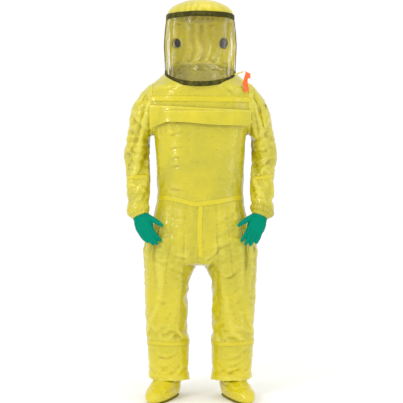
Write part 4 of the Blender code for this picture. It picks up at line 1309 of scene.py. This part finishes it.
def spokes(name, place, count, radii, half_width, heights, finish_name):
    """Ring of bevelled boxes from one radius to another."""
    points, faces = [], []
    for angle in turns(count):
        c, s = math.cos(angle), math.sin(angle)
        first = len(points)
        for radius in radii:
            for aside in (-half_width, half_width):
                for height in heights:
                    points.append(place @ Vector((radius * c - aside * s, radius * s + aside * c, height)))
        for face in ((0, 1, 3, 2), (4, 6, 7, 5), (0, 4, 5, 1), (2, 3, 7, 6), (0, 2, 6, 4), (1, 5, 7, 3)):
            faces.append(tuple(k + first for k in face))
    made = mesh_object(name, points, faces, finish_name, smooth=False)
    modify(made, "BEVEL", width=0.0003, segments=2)
    return made


# profiles of a valve's turned pieces: radius and height along its axis
RIM = ((0.0205, -0.0108), (0.0258, -0.0108), (0.0262, -0.0126), (0.0250, -0.0136), (0.0215, -0.0136))
HUB = ((0.0004, -0.0108), (0.0070, -0.0108), (0.0078, -0.0124), (0.0060, -0.0140), (0.0004, -0.0144))
PLATE = ((0.0003, -0.0109), (0.0220, -0.0109), (0.0220, -0.0121), (0.0003, -0.0121))
GRILLE_RADII, GRILLE_HEIGHTS = (0.0065, 0.0212), (-0.0134, -0.0106)
RIB_RADII, RIB_HEIGHTS = (0.0262, 0.0278), (0.0030, 0.0115)

# the valves differ: finish of the body, finish of its rim, slot
VALVE_FINISHES = {
    "left": ("matte_grey_polypropylene", "matte_grey_polypropylene", "grey"),
    "right": ("gloss_black_nylon", "bright_chrome", "black"),
}


class SUIT_OT_exhaust_valves(bpy.types.Operator):
    """Grilles inside the hood, and ribs round the caps outside it"""

    bl_idname = "suit.exhaust_valves"
    bl_label = "Exhaust valves"

    def execute(self, context):
        for side, sign in SIDES:
            place = valve_place(sign)
            body, rim, slot_name = VALVE_FINISHES[side]
            name = "exhaust_valve"
            pieces = (
                turned(f"{name}_rim_{side}", RIM, place, rim),
                turned(f"{name}_hub_{side}", HUB, place, body),
                spokes(f"{name}_grille_{side}", place, 10, GRILLE_RADII, 0.0011, GRILLE_HEIGHTS, body),
                turned(f"{name}_plate_{side}", PLATE, place, body),
                spokes(f"{name}_ribs_{side}", place, 24, RIB_RADII, 0.0012, RIB_HEIGHTS, body),
            )
            for made in pieces:
                carry(made, "suit")
        return {"FINISHED"}


# storm flap and escape strip


class SUIT_OT_storm_flap(bpy.types.Operator):
    """Hanging flap over the zip, with one dropped and one curled corner"""

    bl_idname = "suit.storm_flap"
    bl_label = "Storm flap"

    def execute(self, context):
        tree = TREES["trunk"]
        columns, rows = 140, 26
        half = FLAP_HI.x + 0.006
        slider_low, slider_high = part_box("zip_slider")
        pull_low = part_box("zip_pull")[0]
        slider = (slider_low + slider_high) / 2
        hit = tree.ray_cast(Vector((slider.x, AHEAD_Y, slider.z)), Vector((0, 1, 0)))
        proud = hit[0].y - min(slider_low.y, pull_low.y) + 0.0035
        points, ways = [], []
        for r in range(rows):
            share = r / (rows - 1)
            for c in range(columns):
                s = -1 + 2 * c / (columns - 1)
                x = half * s
                top = FLAP_HI.z - 0.020 - 0.055 * x
                drop = 0.077 + 0.034 * max(0.0, (-s - 0.66) / 0.34) ** 1.1 + 0.002 * math.sin(5 * s)
                z = top - drop * share
                hit = tree.ray_cast(Vector((x, AHEAD_Y, z)), Vector((0, 1, 0)))
                y = hit[0].y if hit[0] is not None else MIDDLE_Y - CHEST_D * 0.6
                stand = 0.0045 + 0.0165 * share**0.6
                ripple = noise.noise(Vector((x * 30, z * 30, 2)))
                stand += 0.0035 * share * math.sin(9 * s + 1.0) + 0.0016 * share * ripple
                way = min(1.0, max(0.0, (abs(slider.x) + 0.030 - abs(x)) / 0.030))
                ways.append(y - proud * way * (1.0 if z < slider_high.z + 0.004 else 0.6))
                corner = max(0.0, s - 0.86) / 0.14 * max(0.0, share - 0.55) / 0.45
                stand += 0.020 * corner**1.5
                points.append(Vector((x + 0.012 * corner, y - stand, z + 0.020 * corner**2)))
        grid = np.array([tuple(p) for p in points]).reshape(rows, columns, 3)
        for _ in range(6):
            grid[:, 1:-1, 1] = 0.5 * grid[:, 1:-1, 1] + 0.25 * (grid[:, :-2, 1] + grid[:, 2:, 1])
        clear = np.full(grid.shape[:2], 9.0)
        for name in ("zip_slider", "zip_pull", "zip_stop_left", "zip_stop_right"):
            low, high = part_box(name)
            away = np.maximum(np.abs(grid[:, :, 0] - (low.x + high.x) / 2) - (high.x - low.x) / 2, 0)
            away = np.hypot(away, np.maximum(low.z - grid[:, :, 2], 0))
            clear = np.minimum(clear, low.y - 0.0040 + 0.22 * np.maximum(away - 0.012, 0))
        clear = np.minimum(clear, np.array(ways).reshape(rows, columns))
        grid[:, :, 1] = np.minimum(grid[:, :, 1], clear)
        for _ in range(14):
            grid[:, 1:-1, 1] = 0.5 * grid[:, 1:-1, 1] + 0.25 * (grid[:, :-2, 1] + grid[:, 2:, 1])
            grid[1:-1, :, 1] = 0.5 * grid[1:-1, :, 1] + 0.25 * (grid[:-2, :, 1] + grid[2:, :, 1])
        grid[:, :, 1] = np.minimum(grid[:, :, 1], clear + 0.0015)
        grid[0, :, 1] += 0.004
        faces = grid_faces(rows, columns, False)
        flap = mesh_object("storm_flap_fabric", grid.reshape(-1, 3), faces, "coated_fabric_bright")
        modify(flap, "SOLIDIFY", thickness=0.0012, offset=0.0)
        mark_painted_shading(flap, 0.0008, 6)
        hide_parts("storm_flap")
        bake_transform(flap)
        return {"FINISHED"}


class SUIT_OT_escape_strip(bpy.types.Operator):
    """Twisted ribbon hanging from the hood's lower corner"""

    bl_idname = "suit.escape_strip"
    bl_label = "Escape strip"

    def execute(self, context):
        low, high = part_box("escape_strip")
        steps, across_steps = 60, 9
        points = []
        length, last = 0.0, None
        for i in range(steps + 1):
            share = i / steps
            middle = Vector((high.x - 0.006 - 0.014 * share, 0, high.z + 0.002 - (high.z - low.z) * share))
            middle.x += 0.005 * math.sin(3 * math.pi * share)
            middle.y = low.y + 0.006 * math.sin(6 * share)
            if last is not None:
                length += (middle - last).length
            last = middle
            swing = math.sin(3 * math.pi * share + 0.5)
            angle = 0.55 * math.copysign(abs(swing) ** 0.6, swing)
            narrow = min(1.0, (1 - share) * 5.0 + 0.04)
            half = sizes().ribbon / 2 * narrow
            for k in range(across_steps):
                a = -1 + 2 * k / (across_steps - 1)
                slant = Vector((0, 0, -0.011 * a * swing * narrow))
                points.append(middle + Vector((math.cos(angle), math.sin(angle), 0)) * half * a + slant)
        faces = grid_faces(steps + 1, across_steps, False)
        ribbon = mesh_object("escape_strip_ribbon", points, faces, "orange_coated_webbing")
        modify(ribbon, "SOLIDIFY", thickness=0.0011, offset=0.0)
        dress(ribbon, "escape_strip", "orange", "escape_strip")
        return {"FINISHED"}


# hands and feet


def capsule(name, path, radii, columns=20, flat=1.0):
    """Round-ended limb through a few points."""
    rows = spread([[*p, r] for p, r in zip(path, radii)], 26)
    stations = []
    total = len(rows)
    for i, row in enumerate(rows):
        before, after = rows[max(0, i - 1)][:3], rows[min(total - 1, i + 1)][:3]
        along = Vector(after - before).normalized()
        side = along.cross(Vector((0, 1, 0))).normalized()
        stations.append((row[:3], tuple(side), tuple(side.cross(along)), row[3], row[3] * flat, 2.0))
    start, end = stations[0], stations[-1]
    for which, station in ((0, start), (-1, end)):
        inward = Vector(stations[1][0] if which == 0 else stations[-2][0])
        away = (Vector(station[0]) - inward).normalized()
        caps = []
        for share in (0.5, 0.8, 0.97):
            centre = Vector(station[0]) + away * station[3] * share
            size = math.sqrt(1 - share**2)
            caps.append((tuple(centre), station[1], station[2], station[3] * size, station[4] * size, 2.0))
        stations = list(reversed(caps)) + stations if which == 0 else stations + caps
    return tube(name, stations, columns=columns, smooth_rows=False)


class SUIT_OT_gloves(bpy.types.Operator):
    """Rubber gloves with bent fingers, knuckle creases and a loose wrist"""

    bl_idname = "suit.gloves"
    bl_label = "Gloves"

    def execute(self, context):
        lengths = (0.064, 0.082, 0.090, 0.080)
        for side, sign in SIDES:
            down, across, behind = hand_axes(sign)
            root = wrist(sign)

            def at(along, aside=0.0, ahead=0.0):
                return root + down * along + across * aside - behind * ahead

            palm = [
                hand_station(sign, -0.014, 0.036, 0.031),
                hand_station(sign, 0.012, 0.0365, 0.031),
                hand_station(sign, 0.034, 0.038, 0.029),
                hand_station(sign, 0.066, 0.0425, 0.0215, 2.4),
                hand_station(sign, 0.094, 0.0430, 0.0165, 2.6),
                hand_station(sign, 0.110, 0.0385, 0.0125, 2.6),
                hand_station(sign, 0.117, 0.0300, 0.0080, 2.4),
            ]
            parts = [tube("palm", palm, 40, 40)]
            fan, bend_in = (1.16, 0.006) if sign > 0 else (0.98, 0.018)
            for i, length in enumerate(lengths):
                aside = 0.0195 * (1.5 - i)
                curl = 0.006 + 0.004 * (i % 2) + (0.004 if sign < 0 else 0.0)
                tip_length = length - 0.009
                bent = aside * (1 + (fan - 1) * 0.6) - bend_in * 0.35
                path = [
                    at(0.088, aside * 0.96, -0.002),
                    at(0.112, aside, -0.001),
                    at(0.108 + 0.55 * tip_length, bent, -curl * 0.2),
                    at(0.106 + tip_length, aside * fan - bend_in, -curl),
                ]
                parts.append(capsule("finger", path, (0.0100, 0.0104, 0.0100, 0.0086)))
            thumb = at(0.036, -0.020, 0.002)
            aim = (at(0.80, -0.60, 0.20) - root).normalized()
            bend = (at(0.88, -0.44, 0.20) - root).normalized()
            path = [thumb - aim * 0.006, thumb + aim * 0.036, thumb + aim * 0.074]
            path.append(thumb + aim * 0.084 + bend * 0.022)
            parts.append(capsule("thumb", path, (0.0170, 0.0158, 0.0125, 0.0098)))
            glove = joined(parts, f"glove_rubber_{side}")
            face_outward(glove)
            modify(glove, "REMESH", mode="VOXEL", voxel_size=0.0026)
            modify(glove, "SMOOTH", factor=0.5, iterations=5)
            points, normals = points_of(glove), normals_of(glove)
            along = (points - np.array(root)) @ np.array(down)
            aside = (points - np.array(root)) @ np.array(across)
            push = 0.0012 * rumple(points, 42.0, 5) + 0.0006 * (crinkle(points, 120.0, 6) - 0.6)
            knuckles = ((0.112, 0.0011), (0.138, 0.0013), (0.143, 0.0009), (0.165, 0.0010), (0.168, 0.0008))
            for place, depth in knuckles:
                curve = place + 0.010 * np.cos(aside * 60) - 0.010
                push -= depth * np.exp(-(((along - curve) / 0.0016) ** 2))
            for place, depth in ((0.036, 0.0022), (0.045, 0.0026), (0.055, 0.0018)):
                curve = place + 0.004 * np.sin(aside * 110 + place * 90)
                push -= depth * np.exp(-(((along - curve) / 0.0028) ** 2))
            move_to(glove, points + normals * push[:, None])
            glove.data.materials.clear()
            glove.data.materials.append(finish("dipped_green_rubber"))
            dress(glove, f"forearm_{side}", "glove", f"glove_{side}")
        return {"FINISHED"}


class SUIT_OT_cuffs(bpy.types.Operator):
    """Fabric cuffs sealed to the gloves; the left one is rolled"""

    bl_idname = "suit.cuffs"
    bl_label = "Cuffs"

    def execute(self, context):
        for side, sign in SIDES:
            bulge = 0.004 if sign > 0 else 0.0
            rows = (
                (-0.010, 0.0535, 0.0485),
                (-0.004, 0.0560 + bulge, 0.0515 + bulge),
                (0.006, 0.0555 + bulge, 0.0505 + bulge),
                (0.016, 0.0500 + bulge, 0.0455 + bulge),
                (0.022, 0.0450, 0.0400),
                (0.030, 0.0410, 0.0355),
                (0.034, 0.0385, 0.0325),
            )
            stations = [hand_station(sign, *row) for row in rows]
            cuff = tube(f"cuff_fabric_{side}", stations, 34, 96, "coated_fabric")
            points, normals = points_of(cuff), normals_of(cuff)
            _, across, behind = hand_axes(sign)
            off = points - np.array(wrist(sign))
            angle = np.arctan2(off @ np.array(behind), off @ np.array(across))
            push = 0.0007 * np.cos(13 * angle + 6 * rumple(points, 24.0, 7))
            push += 0.0022 * rumple(points, 38.0, 8)
            move_to(cuff, points + normals * push[:, None])
            mark_painted_shading(cuff, 0.0010, 6)
            dress(cuff, f"forearm_{side}", "fabric", f"cuff_{side}")
        return {"FINISHED"}


def foot_station(sign, z, forward, backward, half_width, power=2.3):
    """Level station of the foot, turned out at the toes."""
    ahead = Vector((math.sin(TOES_TURN) * sign, -math.cos(TOES_TURN), 0))
    across = Vector((math.cos(TOES_TURN) * sign, math.sin(TOES_TURN), 0))
    ankle = Vector((0.156 * sign, MIDDLE_Y + 0.008, z))
    centre = ankle + ahead * (forward - backward) / 2
    return tuple(centre), tuple(across), tuple(-ahead), half_width, (forward + backward) / 2, power


class SUIT_OT_booties(bpy.types.Operator):
    """Crumpled booties, turned out at the toes, and the hems that fall over them"""

    bl_idname = "suit.booties"
    bl_label = "Booties and hems"

    def execute(self, context):
        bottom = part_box("bootie_left")[0].z
        for side, sign in SIDES:
            rows = (
                (bottom + 0.0005, 0.196, 0.066, 0.040),
                (bottom + 0.004, 0.210, 0.074, 0.048),
                (0.028, 0.218, 0.082, 0.058),
                (0.050, 0.200, 0.084, 0.0595),
                (0.070, 0.156, 0.084, 0.060),
                (0.088, 0.112, 0.080, 0.058),
                (0.112, 0.082, 0.070, 0.047),
                (0.136, 0.068, 0.064, 0.049),
                (0.160, 0.062, 0.061, 0.050),
            )
            foot = tube("foot", [foot_station(sign, *row) for row in rows], 46, 72)
            modify(foot, "REMESH", mode="VOXEL", voxel_size=0.0048)
            modify(foot, "SMOOTH", factor=0.5, iterations=4)
            modify(foot, "SUBSURF", levels=1)
            points, normals = points_of(foot), normals_of(foot)
            ahead = np.array((math.sin(TOES_TURN) * sign, -math.cos(TOES_TURN), 0))
            reach = (points - np.array((0.156 * sign, MIDDLE_Y + 0.008, 0))) @ ahead
            upper = np.clip((points[:, 2] - 0.022) / 0.03, 0, 1)
            waves = np.sin(115 * (points[:, 2] + 0.32 * reach) + 6 * rumple(points, 15.0, 11))
            instep = np.clip(1 - np.abs(reach - 0.075) / 0.10, 0, 1)
            push = upper * (0.0030 * waves * (0.25 + instep) + 0.0042 * rumple(points, 22.0, 12))
            push += upper * 0.0014 * (crinkle(points, 60.0, 13) - 0.6)
            seam = np.exp(-(((points[:, 2] - 0.020) / 0.0022) ** 2)) * 0.0016
            move_to(foot, points + normals * (push + seam)[:, None])
            mark_painted_shading(foot, 0.0018, 14)
            foot.name = f"bootie_fabric_{side}"
            foot.data.materials.clear()
            foot.data.materials.append(finish("coated_fabric_bright"))
            dress(foot, f"lower_leg_{side}", "fabric", f"bootie_{side}")

            count, levels = 96, 12
            points = []
            for r in range(levels):
                share = r / (levels - 1)
                for angle in turns(count):
                    inner = max(0.0, -math.cos(angle)) if sign > 0 else max(0.0, math.cos(angle))
                    front = max(0.0, -math.sin(angle))
                    droop = 0.012 * inner**6 + 0.002 * front**3 + 0.0018 * math.sin(5 * angle)
                    z = HEM_Z + 0.014 - (0.018 + droop) * share
                    radius = 0.0985 + 0.0010 * share
                    radius += 0.0016 * share * math.sin(11 * angle + 2 * sign) + 0.004 * inner**6 * share
                    c, s = math.cos(angle), math.sin(angle)
                    radius += 0.0012 * noise.noise(Vector((c * 4, s * 4, share * 3)))
                    points.append(Vector((0.154 * sign + radius * c, MIDDLE_Y + radius * s, z)))
            faces = grid_faces(levels, count, True)
            hem = mesh_object(f"hem_fabric_{side}", points, faces, "coated_fabric_bright")
            modify(hem, "SOLIDIFY", thickness=0.0014, offset=0.0)
            dress(hem, f"lower_leg_{side}", "fabric", f"boot_flap_hem_{side}")
        return {"FINISHED"}


class SUIT_OT_hard_parts(bpy.types.Operator):
    """Finishes for the hard pieces that come from the frame"""

    bl_idname = "suit.hard_parts"
    bl_label = "Hard parts"

    def execute(self, context):
        wear = {
            "zip_tape_upper": "coated_fabric",
            "zip_tape_lower": "coated_fabric",
            "zip_teeth": "moulded_acetal_teeth",
            "zip_slider": "nickel_plated_zinc",
            "zip_pull": "orange_coated_webbing",
            "escape_strip_anchor": "coated_fabric",
            "air_inlet_nipple": "turned_nickel_brass",
            "air_inlet_flange": "turned_nickel_brass",
            "air_inlet_nut": "turned_nickel_brass",
        }
        for side, _ in SIDES:
            body = VALVE_FINISHES[side][0]
            wear[f"exhaust_valve_body_{side}"] = body
            wear[f"exhaust_valve_cap_{side}"] = body
            wear[f"exhaust_valve_membrane_{side}"] = "dark_silicone"
            wear[f"sole_{side}"] = "embossed_sole_rubber"
            wear[f"zip_stop_{side}"] = "nickel_plated_zinc"
        for name, finish_name in wear.items():
            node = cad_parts[name]
            if not node.material_slots:
                node.data.materials.append(finish(finish_name))
            for place in node.material_slots:
                place.material = finish(finish_name)
        return {"FINISHED"}


# studio


def soft_light(name, place, target, size, power):
    light = bpy.data.lights.new(name, "AREA")
    light.shape = "RECTANGLE"
    light.size, light.size_y = size
    light.energy = power
    made = bpy.data.objects.new(name, light)
    made.location = place
    made.rotation_euler = (Vector(target) - Vector(place)).to_track_quat("-Z", "Y").to_euler()
    bpy.context.scene.collection.objects.link(made)


class SUIT_OT_studio(bpy.types.Operator):
    """Plain pale floor, soft lights and the camera"""

    bl_idname = "suit.studio"
    bl_label = "Studio"

    def execute(self, context):
        scene = context.scene
        scene.view_settings.view_transform = "Standard"
        corners = [Vector((x, y, -0.0008)) for y in (-30.0, 30.0) for x in (-30.0, 30.0)]
        floor = mesh_object("studio_floor", corners, grid_faces(2, 2, False))
        floor.data.materials.append(studio_paint())
        world = bpy.data.worlds.new("studio")
        world.use_nodes = True
        background = world.node_tree.nodes["Background"]
        background.inputs["Color"].default_value = (1.0, 1.0, 0.99, 1.0)
        background.inputs["Strength"].default_value = 1.02
        scene.world = world
        middle = (0, 0, 1.0)
        soft_light("key", (-2.3, -3.0, 3.0), middle, (0.6, 0.9), 46)
        soft_light("fill", (2.8, -2.4, 1.5), middle, (0.6, 2.0), 12)
        soft_light("top", (0.3, -0.2, 3.6), middle, (1.2, 0.8), 6)
        camera = bpy.data.cameras.new("camera")
        camera.sensor_width = 36
        camera.lens = 91.7
        made = bpy.data.objects.new("camera", camera)
        made.location = (0.006, -5.0, 1.150)
        aim = Vector((0.006, 0.0, 0.9595)) - made.location
        made.rotation_euler = aim.to_track_quat("-Z", "Y").to_euler()
        scene.collection.objects.link(made)
        scene.camera = made
        return {"FINISHED"}


OPERATORS = (
    SUIT_OT_studio,
    SUIT_OT_coverall,
    SUIT_OT_seam_tapes,
    SUIT_OT_storm_flap,
    SUIT_OT_hood,
    SUIT_OT_exhaust_valves,
    SUIT_OT_escape_strip,
    SUIT_OT_gloves,
    SUIT_OT_cuffs,
    SUIT_OT_booties,
    SUIT_OT_hard_parts,
)


class SUIT_PT_panel(bpy.types.Panel):
    bl_label = "Chemical protective suit"
    bl_space_type = "VIEW_3D"
    bl_region_type = "UI"
    bl_category = "Suit"

    def draw(self, context):
        layout = self.layout
        for group in (context.scene.suit_sizes, context.scene.suit_colours):
            column = layout.column()
            for name in group.__annotations__:
                column.prop(group, name)
        for operator in OPERATORS:
            layout.operator(operator.bl_idname)


CLASSES = (SuitSizes, SuitColours, *OPERATORS, SUIT_PT_panel)


def register():
    for one in CLASSES:
        bpy.utils.register_class(one)
    bpy.types.Scene.suit_sizes = PointerProperty(type=SuitSizes)
    bpy.types.Scene.suit_colours = PointerProperty(type=SuitColours)


def unregister():
    del bpy.types.Scene.suit_colours
    del bpy.types.Scene.suit_sizes
    for one in reversed(CLASSES):
        bpy.utils.unregister_class(one)


def main():
    register()
    for operator in OPERATORS:
        call = getattr(bpy.ops.suit, operator.bl_idname.split(".")[1])
        if call() != {"FINISHED"}:
            raise RuntimeError(f"{operator.bl_idname} didn't finish")


if __name__ == "__main__":
    main()
